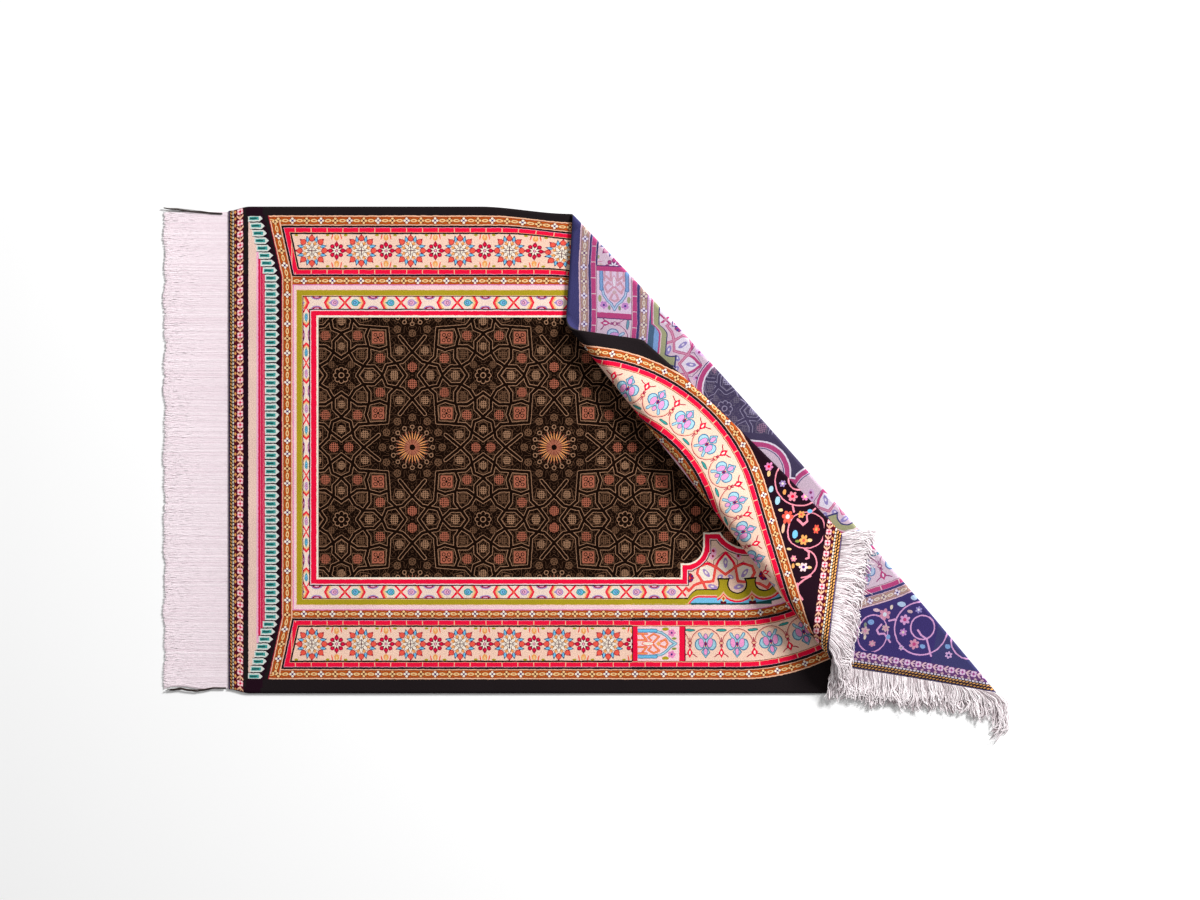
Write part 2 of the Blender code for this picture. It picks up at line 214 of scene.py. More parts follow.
class Spot(Flow):
    """A place on the weave in millimetres, from some centre and along some axes."""

    def compute(self, operation: str, *others: object, output: int = 0) -> Flow:
        """The place after an operation on vectors, or a number from it."""
        node = self.graph.add("ShaderNodeVectorMath", self, *others, operation=operation)
        return (Number if output else Spot)(self.graph, node.outputs[output])

    @staticmethod
    def at(x: Number, y: Number) -> Spot:
        """The place with these two coordinates."""
        node = x.graph.add("ShaderNodeCombineXYZ", x, y)
        return Spot(x.graph, node.outputs[0])

    @cached_property
    def parts(self) -> tuple[Number, Number]:
        """The two coordinates."""
        outputs = self.graph.add("ShaderNodeSeparateXYZ", self).outputs
        return Number(self.graph, outputs[0]), Number(self.graph, outputs[1])

    @cached_property
    def away(self) -> Number:
        """Distance from the centre."""
        return self.compute("LENGTH", output=1)

    @cached_property
    def heading(self) -> Number:
        """Direction from the centre, in radians."""
        x, y = self.parts
        return y.compute("ARCTAN2", x)

    @cached_property
    def mirrored(self) -> Spot:
        """The same place in the first quarter, for what is alike in all four."""
        return self.compute("ABSOLUTE")

    def folded(self) -> Spot:
        """The same place on the upper side of the x axis."""
        x, y = self.parts
        return Spot.at(x, y.size())

    def moved(self, x: float, y: float = 0.0) -> Spot:
        """The place from another centre."""
        return self.compute("SUBTRACT", (x, y, 0.0))

    def turned(self, degrees: float) -> Spot:
        """The place along axes turned to the left by so much."""
        return self.rotated(-math.radians(degrees))

    def rotated(self, angle: float | Number) -> Spot:
        """The place turned round the centre by an angle in radians."""
        node = self.graph.add(
            "ShaderNodeVectorRotate",
            self,
            rotation_type="Z_AXIS",
            sockets={"Angle": angle},
        )
        return Spot(self.graph, node.outputs[0])

    def spun(self, count: int, radius: float = 0.0) -> Spot:
        """The place from the nearest of even spokes, at a radius along it."""
        sector = 2 * math.pi / count
        spoke = (self.heading * (1 / sector)).compute("ROUND")
        return self.rotated(spoke * -sector).moved(radius)

    def scaled(self, x: float, y: float) -> Spot:
        """The place with each coordinate multiplied."""
        return self.compute("MULTIPLY", (x, y, 0.0))

    def line(self, start: Sequence[float], end: Sequence[float]) -> Number:
        """Distance to the straight line between two points."""
        x, y = end[0] - start[0], end[1] - start[1]
        middle = self.moved((start[0] + end[0]) / 2, (start[1] + end[1]) / 2)
        along = middle.turned(math.degrees(math.atan2(y, x))).mirrored
        return along.moved(math.hypot(x, y) / 2).compute("MAXIMUM", (0.0, 0.0, 0.0)).away

    def path(self, *lines: Sequence[Sequence[float]]) -> Number:
        """Distance to the nearest of some lines, each given by its points in order."""
        return Number.lowest(
            self.line(*ends) for points in lines for ends in zip(points, points[1:])
        )

    def nearest(self, *places: Sequence[float]) -> Number:
        """Distance to the nearest of some points."""
        return Number.lowest(self.moved(*place).away for place in places)

    def unless(self, mask: Number, other: Spot) -> Spot:
        """The place, but the other one in the mask."""
        sockets = {4: self, 5: other}
        node = self.graph.add("ShaderNodeMix", mask, data_type="VECTOR", sockets=sockets)
        return Spot(self.graph, node.outputs[1])

    def disc(self, radius: float) -> Number:
        """Mask of a disc."""
        return self.away < radius

    def ring(self, radius: float, width: float) -> Number:
        """Mask of a ring."""
        return self.away.near(radius, width / 2)

    def oval(self, x: float, y: float) -> Number:
        """Mask of an ellipse with these half widths."""
        return self.scaled(1 / x, 1 / y).away < 1.0

    def diamond(self, x: float, y: float) -> Number:
        """Mask of a rhombus with these half widths."""
        return self.mirrored.compute("DOT_PRODUCT", (1 / x, 1 / y, 0.0), output=1) < 1.0

    def hexagon(self, radius: float) -> Number:
        """Mask of a hexagon with two corners on the y axis, this far from its middle."""
        slope = math.sqrt(0.75)
        flank = self.mirrored.compute("DOT_PRODUCT", (0.5, slope, 0.0), output=1)
        return (flank < radius * slope) & self.parts[0].near(0.0, radius * slope)

    def box(self, x: float, y: float) -> Number:
        """Mask of a rectangle with these half widths."""
        across, along = self.parts
        return across.near(0.0, x) & along.near(0.0, y)


class Side(Enum):
    """The two sides of the weave."""

    FACE = 0
    UNDERSIDE = 1


class Yarn(Enum):
    """The dyed yarns, each with its sRGB colour on the pile and on the underside."""

    BLACK = ("201a1c", "3e3c6a")
    SOOT = ("181213", "241c38")
    AUBERGINE = ("220e1a", "3c326a")
    MAROON = ("5a1022", "60386c")
    CRIMSON = ("f2143f", "b04478")
    CHERRY = ("d0204e", "944484")
    WINE = ("a8183c", "8c3a70")
    CORAL = ("f05c4a", "c487a2")
    ORANGE = ("bc541c", "a8887c")
    RUST = ("7c2c14", "84607a")
    CORD = ("ffb468", "e8ac64")
    AMBER = ("f0a45c", "c0a0a8")
    SHELL = ("eecabc", "ccb8c8")
    PEACH = ("f4bc9a", "d0b0bc")
    PANEL = ("f8d0ba", "ccb4c6")
    CREAM = ("f4c88c", "d0c0b4")
    IVORY = ("f8ead8", "d8cede")
    EGGSHELL = ("f6dccc", "d8cede")
    BLUSH = ("f8d2d4", "d2bad2")
    PINK = ("f4aecc", "c8a0cc")
    ROSE = ("f492a4", "cc98c6")
    LOTUS = ("f49cce", "c890c8")
    ORCHID = ("ea88bc", "b880bc")
    LILAC = ("a88cc4", "8c80b8")
    VIOLET = ("4a2878", "4a3c84")
    OLIVE = ("b09c24", "9a9a78")
    LEAF = ("8a9440", "808a78")
    GREEN = ("1c5450", "48607c")
    TEAL = ("3f9c98", "6890a4")
    MINT = ("dce0da", "c4ccd8")
    SKY = ("74bee6", "7898c8")
    STEEL = ("4c7c9c", "5c74a0")
    MIST = ("a4cfde", "a8bcd8")
    NAVY = ("242c58", "38386c")
    UMBER = ("160803", "443c58")
    TAN = ("9c755a", "8c84a0")
    THREAD = ("684a36", "686074")
    COPPER = ("a8604a", "8c6c84")

    def on(self, side: Side) -> Colour:
        """Linear colour on one side of the weave."""
        return linear(self.value[side.value])


@dataclass
class Paint:
    """A drawing that is built up in layers on one side of the weave."""

    graph: Graph
    side: Side
    colour: Colour | Flow

    def fresh(self, ground: Yarn) -> Paint:
        """Another drawing on the same side that starts as a plain ground."""
        return Paint(self.graph, self.side, ground.on(self.side))

    def lay(self, mask: Number, colour: Colour | Flow) -> None:
        """Covers what is in the mask with a colour."""
        sockets = {6: self.colour, 7: colour}
        node = self.graph.add("ShaderNodeMix", mask, data_type="RGBA", sockets=sockets)
        self.colour = Flow(self.graph, node.outputs[2])

    def fill(self, mask: Number, yarn: Yarn) -> None:
        """Covers what is in the mask with a yarn."""
        self.lay(mask, yarn.on(self.side))

    def nest(self, shape: Callable[..., Number], *rows: tuple) -> None:
        """Fills one kind of shape in several sizes.

        Args:
            shape: Gives the mask for a row's sizes.
            rows: The sizes of each shape, and then its yarn, from the lowest layer up.
        """
        for *sizes, yarn in rows:
            self.fill(shape(*sizes), yarn)


# --------------------------------------------------
# The woven bands
# --------------------------------------------------


@dataclass(frozen=True)
class Levels:
    """Where the bands along the rug lie, in millimetres.

    The first numbers are distances from the pattern's axis.  Those named _start say how
    far left of the rug's middle one mark of the band's repeat lies.
    """

    buds: float = 208.3
    inner_guard: float = 239.8
    panel_inside: float = 246.4
    panel: float = 283.2
    between_guards: float = 290.0
    panel_outside: float = 319.2
    outer_guard: float = 326.5
    top: float = 333.9
    buds_start: float = 344.2
    inner_guard_start: float = 443.8
    outer_guard_start: float = 460.1
    bricks_start: float = 410.3

    @staticmethod
    def in_panel(w: Number) -> Number:
        """Distance inside the panel's two long edges, at w from the pattern's axis."""
        return Number.lowest((w - Levels.panel_inside, -(w - Levels.panel_outside)))

    @staticmethod
    def on_guard(x: Number, w: Number) -> tuple[Number, Number]:
        """Places along and across the guard that is nearest to w."""
        outer = w > Levels.between_guards
        along = (x + Levels.inner_guard_start).unless(outer, x + Levels.outer_guard_start)
        return along, (w - Levels.inner_guard).unless(outer, w - Levels.outer_guard)


@dataclass(frozen=True)
class Guard:
    """Narrow orange band of small four-petalled flowers with ovals between them."""

    ground: float = 5.2
    outline: float = 0.4
    petal: float = 1.75
    petal_reach: float = 2.9
    pitch: float = 41.1

    def draw(self, on: Paint, along: Number, across: Number) -> Paint:
        """Draws the band.

        Args:
            on: The drawing that it will be laid on.
            along: Place along the band, 0 at a white flower.
            across: Place across it, 0 at its middle.

        Returns:
            The finished drawing.
        """
        paint = on.fresh(Yarn.PEACH)
        paint.fill(across.near(0.0, self.ground + self.outline), Yarn.RUST)
        paint.fill(across.near(0.0, self.ground - self.outline), Yarn.ORANGE)
        white = Spot.at(along.cycle(self.pitch), across)
        gold = Spot.at(along.cycle(self.pitch, self.pitch / 2), across)
        between = Spot.at(along.cycle(self.pitch / 2, self.pitch / 4), across)
        paint.nest(between.oval, (5.6, 3.1, Yarn.RUST), (4.9, 2.4, Yarn.CREAM), (2.4, 0.9, Yarn.ORANGE))
        for flower, petal, heart in (
            (white, Yarn.IVORY, Yarn.VIOLET),
            (gold, Yarn.CREAM, Yarn.MAROON),
        ):
            paint.fill(flower.disc(4.6), Yarn.RUST)
            beside = flower.mirrored.moved(self.petal_reach).disc(self.petal)
            above = flower.mirrored.moved(0.0, self.petal_reach).disc(self.petal)
            paint.fill(beside | above, petal)
            paint.fill(flower.disc(1.35), heart)
        return paint


@dataclass(frozen=True)
class Rosettes:
    """Row of large and small rosettes on a peach ground."""

    pitch: float = 71.1

    def draw(self, on: Paint, along: Number, across: Number) -> Paint:
        """Draws the row.  along is 0 at a large rosette, across is 0 at the middle."""
        paint = on.fresh(Yarn.PANEL)
        large = Spot.at(along.cycle(self.pitch), across)
        small = Spot.at(along.cycle(self.pitch, self.pitch / 2), across)
        self.edge_flowers(paint, small)
        self.large_rosette(paint, large)
        self.small_rosette(paint, small)
        return paint

    def edge_flowers(self, paint: Paint, small: Spot) -> None:
        """Half flowers at the band's edges, beside each small rosette."""
        for place, turn, size, yarn in (
            ((0.0, 19.0), 0, (3.6, 4.6), Yarn.AMBER),
            ((0.0, 20.5), 0, (1.6, 3.0), Yarn.CREAM),
            ((6.3, 20.5), 12, (0.95, 4.6), Yarn.CORAL),
            ((13.0, 22.4), 0, (2.8, 1.5), Yarn.OLIVE),
        ):
            paint.fill(small.mirrored.moved(*place).turned(turn).oval(*size), yarn)

    def large_rosette(self, paint: Paint, spot: Spot) -> None:
        """Eight coral petals and eight pairs of blue leaves round an ivory flower."""
        petal = spot.spun(8, 17.6)
        paint.fill(petal.moved(1.2).diamond(6.0, 3.6), Yarn.WINE)
        paint.fill(petal.oval(4.3, 4.2), Yarn.WINE)
        paint.fill(petal.moved(0.3).oval(3.5, 3.3), Yarn.CORAL)
        leaf = spot.spun(4).folded().moved(15.6, 6.2).turned(10)
        paint.fill(leaf.diamond(6.6, 2.9), Yarn.NAVY)
        paint.fill(leaf.oval(3.7, 1.5), Yarn.SKY)
        paint.fill(spot.turned(22.5).spun(8, 7.6).diamond(7.2, 3.4), Yarn.AMBER)
        ray = spot.spun(8, 7.4)
        paint.fill(ray.diamond(7.4, 3.3), Yarn.MAROON)
        paint.fill(ray.diamond(6.6, 2.5) | spot.disc(4.4), Yarn.IVORY)
        paint.fill(spot.spun(4).box(7.2, 0.6), Yarn.MAROON)
        paint.fill(spot.ring(4.6, 0.9) & (spot.turned(22.5).spun(8).parts[1].size() > 0.9), Yarn.NAVY)

    def small_rosette(self, paint: Paint, spot: Spot) -> None:
        """Eight wine-red petals round a small white flower."""
        petal = spot.spun(8, 8.7)
        paint.fill(petal.disc(3.2), Yarn.WINE)
        paint.fill(spot.spun(4, 11.0).diamond(3.2, 2.4), Yarn.WINE)
        paint.fill(petal.disc(1.5), Yarn.CRIMSON)
        paint.fill(spot.disc(6.2), Yarn.MAROON)
        paint.fill(spot.turned(22.5).spun(8, 3.9).oval(2.3, 1.2), Yarn.IVORY)
        paint.nest(spot.disc, (2.2, Yarn.WINE), (1.3, Yarn.PINK))


@dataclass(frozen=True)
class Bricks:
    """Rings of line, pale edge and crimson stripe round a panel, from its outside in."""

    brick: float = 22.9
    line: Yarn = Yarn.BLACK
    line_half: float = 1.2
    stripe: tuple[float, float] = (6.3, 3.1)
    gap_half: float = 1.5

    def draw(self, paint: Paint, inward: Number, along: Number) -> None:
        """Draws the rings at a distance inward; along is 0 at a joint of two bricks."""
        paint.fill(inward.near(6.6, 4.3), Yarn.PEACH)
        paint.fill(inward.near(2.9, 0.6), Yarn.PINK)
        paint.fill(inward.near(1.2, self.gap_half), Yarn.BLACK)
        stripe = inward.near(*self.stripe)
        paint.fill(stripe, Yarn.CRIMSON)
        paint.fill(stripe & along.cycle(self.brick).near(0.0, 0.6), Yarn.PEACH)
        paint.fill(inward.near(11.1, self.line_half), self.line)


@dataclass(frozen=True)
class Buds:
    """Ivory band of buds in six-sided cells, with crossed straps between them."""

    pitch: float = 81.0
    half: float = 8.6
    bud_from_half_bud: float = 25.6
    chevron_slope: float = 0.52
    chevron_half: float = 1.2
    strap_slope: float = 0.9
    strap_half: float = 1.9

    def draw(self, on: Paint, along: Number, across: Number) -> Paint:
        """Draws the band.  along is 0 at a pair of half buds, across at the middle."""
        paint = on.fresh(Yarn.EGGSHELL)
        from_half_bud = along.cycle(self.pitch).size()
        spread = across.size()
        half_bud = Spot.at(from_half_bud, spread - self.half)
        paint.nest(half_bud.oval, (8.2, 4.4, Yarn.LILAC), (6.4, 2.9, Yarn.WINE), (3.4, 1.7, Yarn.PINK))
        chevron = from_half_bud - spread * self.chevron_slope
        for middle, yarn in ((11.4, Yarn.CRIMSON), (13.7, Yarn.CORAL), (15.7, Yarn.CREAM)):
            paint.fill(chevron.near(middle, self.chevron_half), yarn)
        crossing = from_half_bud + spread * self.strap_slope
        paint.fill(crossing.near(self.pitch / 2, self.strap_half), Yarn.CRIMSON)
        paint.fill(Spot.at(from_half_bud - self.pitch / 2, across).disc(2.4), Yarn.CORAL)
        bud = Spot.at(from_half_bud - self.bud_from_half_bud, across)
        other = along.cycle(2 * self.pitch).size() < self.pitch / 2
        rim, heart = paint.fresh(Yarn.LILAC), paint.fresh(Yarn.PINK)
        rim.fill(other, Yarn.TEAL)
        heart.fill(other, Yarn.SKY)
        paint.lay(bud.oval(5.6, 5.0) | bud.moved(-4.4).diamond(4.2, 2.6), rim.colour)
        paint.lay(bud.oval(4.0, 3.5), heart.colour)
        paint.fill(bud.moved(0.6).ring(1.9, 0.7), Yarn.NAVY)
        return paint


@dataclass(frozen=True)
class EndRows:
    """The narrow rows woven at each end: barber cords, white dashes and flowers."""

    cords: int = 1
    cord_middle: float = 2.9
    cord_half: float = 1.15
    cord_pitch: float = 5.0
    cord_width: float = 3.9
    cord_slope: float = 0.9
    dash_middle: float = 6.0
    dash_pitch: float = 5.1
    bead_middle: float = 9.0
    bead_pitch: float = 9.8
    flower_middle: float = 16.0
    flower_pitch: float = 16.3
    end: float = 20.6

    def draw(self, paint: Paint, inward: Number, along: Number) -> None:
        """Draws the rows.

        Args:
            paint: What they are drawn on.
            inward: Distance from the rug's end.
            along: Distance along the end from the rug's middle.
        """
        more_cords = self.cord_width * (self.cords - 1)
        inward = inward - more_cords
        paint.fill(inward < self.end, Yarn.MAROON)
        paint.fill(inward < self.dash_middle + 1.4, Yarn.SOOT)
        twist = (along + inward * self.cord_slope).cycle(self.cord_pitch).near(0.0, 1.5)
        strands = inward.near(self.cord_middle, self.cord_half)
        if self.cords > 1:
            strands = strands | inward.near(self.cord_middle - self.cord_width, self.cord_half)
        bead = Spot.at(inward - self.bead_middle, along.cycle(self.bead_pitch))
        paint.fill(bead.diamond(1.9, 2.8), Yarn.AMBER)
        paint.fill(strands & twist, Yarn.CORD)
        paint.fill(inward < 0.5 - more_cords, Yarn.LILAC)
        dash = along.cycle(self.dash_pitch).near(0.0, 1.8)
        paint.fill(inward.near(self.dash_middle, 1.1) & dash, Yarn.IVORY)
        from_middle = inward - self.flower_middle
        flower = Spot.at(from_middle, along.cycle(self.flower_pitch))
        paint.fill(flower.disc(4.3), Yarn.ROSE)
        paint.fill(flower.mirrored.moved(2.3, 2.3).disc(1.7), Yarn.BLUSH)
        paint.fill(flower.diamond(2.2, 2.2), Yarn.CHERRY)
        outward = along.size().cycle(self.flower_pitch, self.flower_pitch / 2)
        arms = (outward - from_middle.size()).near(-2.3, 1.5)
        paint.fill(arms & from_middle.near(0.0, 4.6), Yarn.PEACH)
        paint.fill(Spot.at(from_middle, outward).box(0.5, 3.4), Yarn.PEACH)


@dataclass(frozen=True)
class Bars:
    """Row of pointed teal bars that steps outward near the rug's corners."""

    pitch: float = 11.62
    left: float = -499.9
    length: float = 20.6
    taper: float = 4.6
    straight: float = 244.2
    crowding: float = 1.084
    step_slope: float = 0.26
    row_end: float = 333.0

    def draw(self, paint: Paint, x: Number, w: Number) -> Number:
        """Draws the row, and gives the mask of what lies left of it."""
        count = w + w.over(self.straight) * (self.crowding - 1)
        middle = (count * (1 / self.pitch)).compute("ROUND") * self.pitch
        start = middle.over(self.straight) * -self.step_slope + self.left
        from_start = x - start
        bar = Spot.at(from_start, count - middle)
        paint.fill(from_start.over(0.0).near(12.0, 11.9), Yarn.AUBERGINE)
        rise = bar.parts[1].size() + from_start.over(self.length - self.taper)
        in_row = w < self.row_end
        for centre, reach, half, yarn in (
            (self.length / 2, self.length / 2, 4.9, Yarn.MINT),
            (8.6, 7.0, 2.6, Yarn.TEAL),
            (7.6, 5.0, 1.15, Yarn.GREEN),
        ):
            paint.fill(from_start.near(centre, reach) & in_row & (rise < half), yarn)
        return (from_start < 0.0) & in_row


@dataclass(frozen=True)
class Borders:
    """Everything round the field, from the left end to the small arch panels."""

    end: float = -551.5
    left: float = -475.6
    slant: float = 0.2197
    slant_start: float = 245.4
    end_band: float = 15.5

    def draw(self, on: Paint, x: Number, y: Number) -> Paint:
        """Draws the borders.

        Args:
            on: Gives the side of the weave.
            x: Distance along the rug from its middle.
            y: Distance across it from the pattern's axis.

        Returns:
            The finished drawing.
        """
        paint = on.fresh(Yarn.BLACK)
        w = y.size()
        self.left_end(paint, x, y, w)
        inward = x - self.left + w.over(self.slant_start) * self.slant
        self.guards(paint, x, w, inward)
        self.panel(paint, x, w, inward)
        self.frames(paint, x, y, w)
        return paint

    def left_end(self, paint: Paint, x: Number, y: Number, w: Number) -> None:
        """The left end: woven rows, pale and crimson bands and the row of bars."""
        paint.fill((x < -478.0) & (w < 250.0), Yarn.AUBERGINE)
        bands = Bars().draw(paint, x, w) & (x > -523.6)
        paint.fill(bands, Yarn.SHELL)
        paint.fill(bands & (x > -512.0), Yarn.PINK)
        crimson = bands & (x > -509.4) & (w < 275.0)
        paint.fill(crimson, Yarn.CHERRY)
        paint.fill(crimson & (x + 504.2).size().near(1.9, 0.25), Yarn.ROSE)
        EndRows().draw(paint, x - self.end, y)

    def guards(self, paint: Paint, x: Number, w: Number, inward: Number) -> None:
        """The outer guard, its run down the end, and the inner guard."""
        at_end = (inward < self.end_band) & (w < 326.0)
        along, across = Levels.on_guard(x, w)
        down_end = (w - 9.5) * (Guard.pitch / 42.1)
        along, across = along.unless(at_end, down_end), across.unless(at_end, inward - 8.0)
        band = Guard().draw(paint, along, across)
        paint.lay((inward > 0.0) & (w < Levels.top), band.colour)
        paint.fill(inward.near(0.2, 0.6) & (w < Levels.top), Yarn.WINE)

    def panel(self, paint: Paint, x: Number, w: Number, inward: Number) -> None:
        """The panel of rosettes and the rings of brick stripe round it."""
        ends = (inward - self.end_band) * 0.977
        sides = Levels.in_panel(w)
        depth = sides.compute("MINIMUM", ends)
        rosettes = Rosettes().draw(paint, x + 432.1, w - Levels.panel)
        paint.lay(depth > 0.0, rosettes.colour)
        joints = x + Levels.bricks_start + (ends < sides) * 5.0
        Bricks().draw(paint, depth, joints)

    def frames(self, paint: Paint, x: Number, y: Number, w: Number) -> None:
        """The plain and budded frames round the field, each a step further in."""
        sides = w > 199.6
        along = y.unless(sides, x + Levels.buds_start)
        across = ((x + 440.3) * 2.1).unless(sides, w - Levels.buds)
        buds = Buds().draw(paint, along, across)
        for left, half, yarn in (
            (-459.8, 234.6, Yarn.ORCHID),
            (-458.2, 233.2, Yarn.BLUSH),
            (-454.6, 227.2, Yarn.PEACH),
            (-454.0, 226.4, Yarn.OLIVE),
            (-446.4, 218.9, Yarn.PEACH),
            (-445.6, 218.1, Yarn.BLACK),
            (-444.3, 216.9, None),
            (-436.3, 199.6, Yarn.BLACK),
            (-434.6, 197.9, Yarn.BLUSH),
            (-433.4, 196.4, Yarn.CRIMSON),
            (-425.6, 190.1, Yarn.IVORY),
        ):
            inside = (x > left) & (w < half)
            paint.lay(inside, buds.colour if yarn is None else yarn.on(paint.side))


# --------------------------------------------------
# The field and the arch at its head
# --------------------------------------------------


@dataclass(frozen=True)
class Lattice:
    """Star lattice of thin double straps and small rosettes on the dark field.

    All places are in one eighth of a cell: x is the larger distance from the star in its
    middle, y the smaller one.
    """

    width: float = 204.2
    height: float = 207.4
    middle: float = -287.6
    strap: float = 2.5
    line: float = 0.44
    scroll_waves: float = 0.17  # in a millimetre
    speckle_pitch: float = 2.7
    speckle_radius: float = 0.95
    straps: tuple = (
        ((36, 36), (77, 33), (88, 21), (103, 10)),
        ((62, 34), (67, 47), (63, 62), (79, 62), (103, 79)),
        ((70, 0), (84, 14), (89, 37), (103, 43), (91, 55), (91, 70), (83, 83)),
        ((48, 18), (70, 0)),
    )
    veins: tuple = (
        ((43, 39), (59, 38), (59, 59)),
        ((75, 10), (61, 12), (60, 25), (75, 28), (75, 10)),
        ((96, 17), (96, 34), (103, 39)),
        ((97, 53), (97, 70), (103, 75)),
        ((68, 66), (80, 66), (80, 79)),
        ((84, 10), (96, 9)),
        ((70, 40), (72, 54), (86, 55), (86, 40), (72, 39)),
    )

    def draw(self, on: Paint, x: Number, y: Number) -> Paint:
        """Draws the lattice, whose stars stand on the pattern's axis."""
        paint = on.fresh(Yarn.UMBER)
        star = Spot.at(x.cycle(self.width, self.middle), y.cycle(self.height))
        across, along = star.mirrored.parts
        low, high = across.compute("MINIMUM", along), across.compute("MAXIMUM", along)
        spot = Spot.at(high, low)
        speckle = Spot.at(x.cycle(self.speckle_pitch), y.cycle(self.speckle_pitch))
        # Contour lines of a soft noise make the fine scrollwork inside the cells.
        sockets = {"Scale": self.scroll_waves, "Detail": 0.0}
        scroll = paint.graph.add("ShaderNodeTexNoise", spot, sockets=sockets)
        paint.fill(Number(paint.graph, scroll.outputs[0]).near(0.5, 0.016), Yarn.THREAD)
        paint.fill(spot.path(*self.veins).near(0.0, 0.5), Yarn.THREAD)
        straps = spot.path(*self.straps)
        paint.fill(straps < self.strap, Yarn.UMBER)
        paint.fill(straps.near(self.strap, self.line), Yarn.TAN)
        self.rosettes(paint, spot, speckle.disc(self.speckle_radius))
        self.medallion(paint, star)
        self.ring(paint, Spot.at(across - self.width / 2, along - self.height / 2))
        return paint

    @staticmethod
    def rosettes(paint: Paint, spot: Spot, speckle: Number) -> None:
        """Copper rosettes, paler leaves and the square ones in their cells."""
        for places, size, yarn in (
            (((79, 46.4), (91.5, 0)), 7.0, Yarn.COPPER),
            (((68, 18.5), (102.5, 26), (103, 62)), 6.0, Yarn.TAN),
            (((73, 73), (88, 88), (27, 104)), 5.2, Yarn.THREAD),
        ):
            inside = spot.nearest(*places) < size
            paint.fill(inside, yarn)
            paint.fill(inside & speckle, Yarn.UMBER)
        square = spot.moved(49.5, 49.0).mirrored
        paint.fill(square.box(8.4, 8.4), Yarn.COPPER)
        paint.fill(square.moved(3.7, 3.7).ring(2.2, 1.1) | square.disc(1.6), Yarn.UMBER)

    @staticmethod
    def medallion(paint: Paint, star: Spot) -> None:
        """Many-petalled flower with loops and small flowers round it."""
        flower = star.spun(12, 43.0)
        paint.fill(flower.disc(5.4), Yarn.THREAD)
        paint.fill(flower.spun(5, 3.2).disc(1.0) | flower.disc(1.0), Yarn.UMBER)
        loop = star.spun(16)
        paint.fill(loop.moved(29.5).ring(2.7, 1.2) | loop.moved(16.0).box(11.0, 0.55), Yarn.TAN)
        petal = star.spun(28, 14.0)
        paint.fill(petal.oval(10.0, 0.85), Yarn.COPPER)
        paint.fill(petal.moved(2.0).oval(5.0, 0.5), Yarn.AMBER)
        paint.fill(star.ring(4.6, 1.2), Yarn.COPPER)
        paint.fill(star.disc(3.6), Yarn.UMBER)

    @staticmethod
    def ring(paint: Paint, spot: Spot) -> None:
        """Eight-lobed ring where four cells meet."""
        lobe = spot.spun(8, 8.0)
        paint.fill(lobe.disc(4.0), Yarn.TAN)
        paint.fill(lobe.disc(2.9) | spot.disc(7.0), Yarn.UMBER)
        paint.fill(spot.ring(3.6, 1.4), Yarn.TAN)


@dataclass(frozen=True)
class Bend:
    """Coordinates that follow the arch: straight sides, round shoulders, straight slopes."""

    turn: Number
    ahead: Number
    out: Number

    @staticmethod
    def of(arch: Arch, x: Number, w: Number) -> Bend:
        """Bends the place at x along the rug and w from the pattern's axis."""
        corner = arch.top - arch.radius
        from_centre = x - arch.centre, w - corner
        heading = from_centre[0].compute("ARCTAN2", from_centre[1])
        slope = math.radians(arch.slope)
        turn = heading.compute("MAXIMUM", 0.0).compute("MINIMUM", slope)
        ahead, out = Spot.at(*from_centre).rotated(turn).parts
        return Bend(turn, ahead, out + corner)

    def along(self, level: float, arch: Arch, pace: float = 1.0) -> Number:
        """Distance along a band from the shoulder, in the straight sides' own measure."""
        radius = (level - arch.top + arch.radius) * pace
        return self.turn * radius + self.ahead


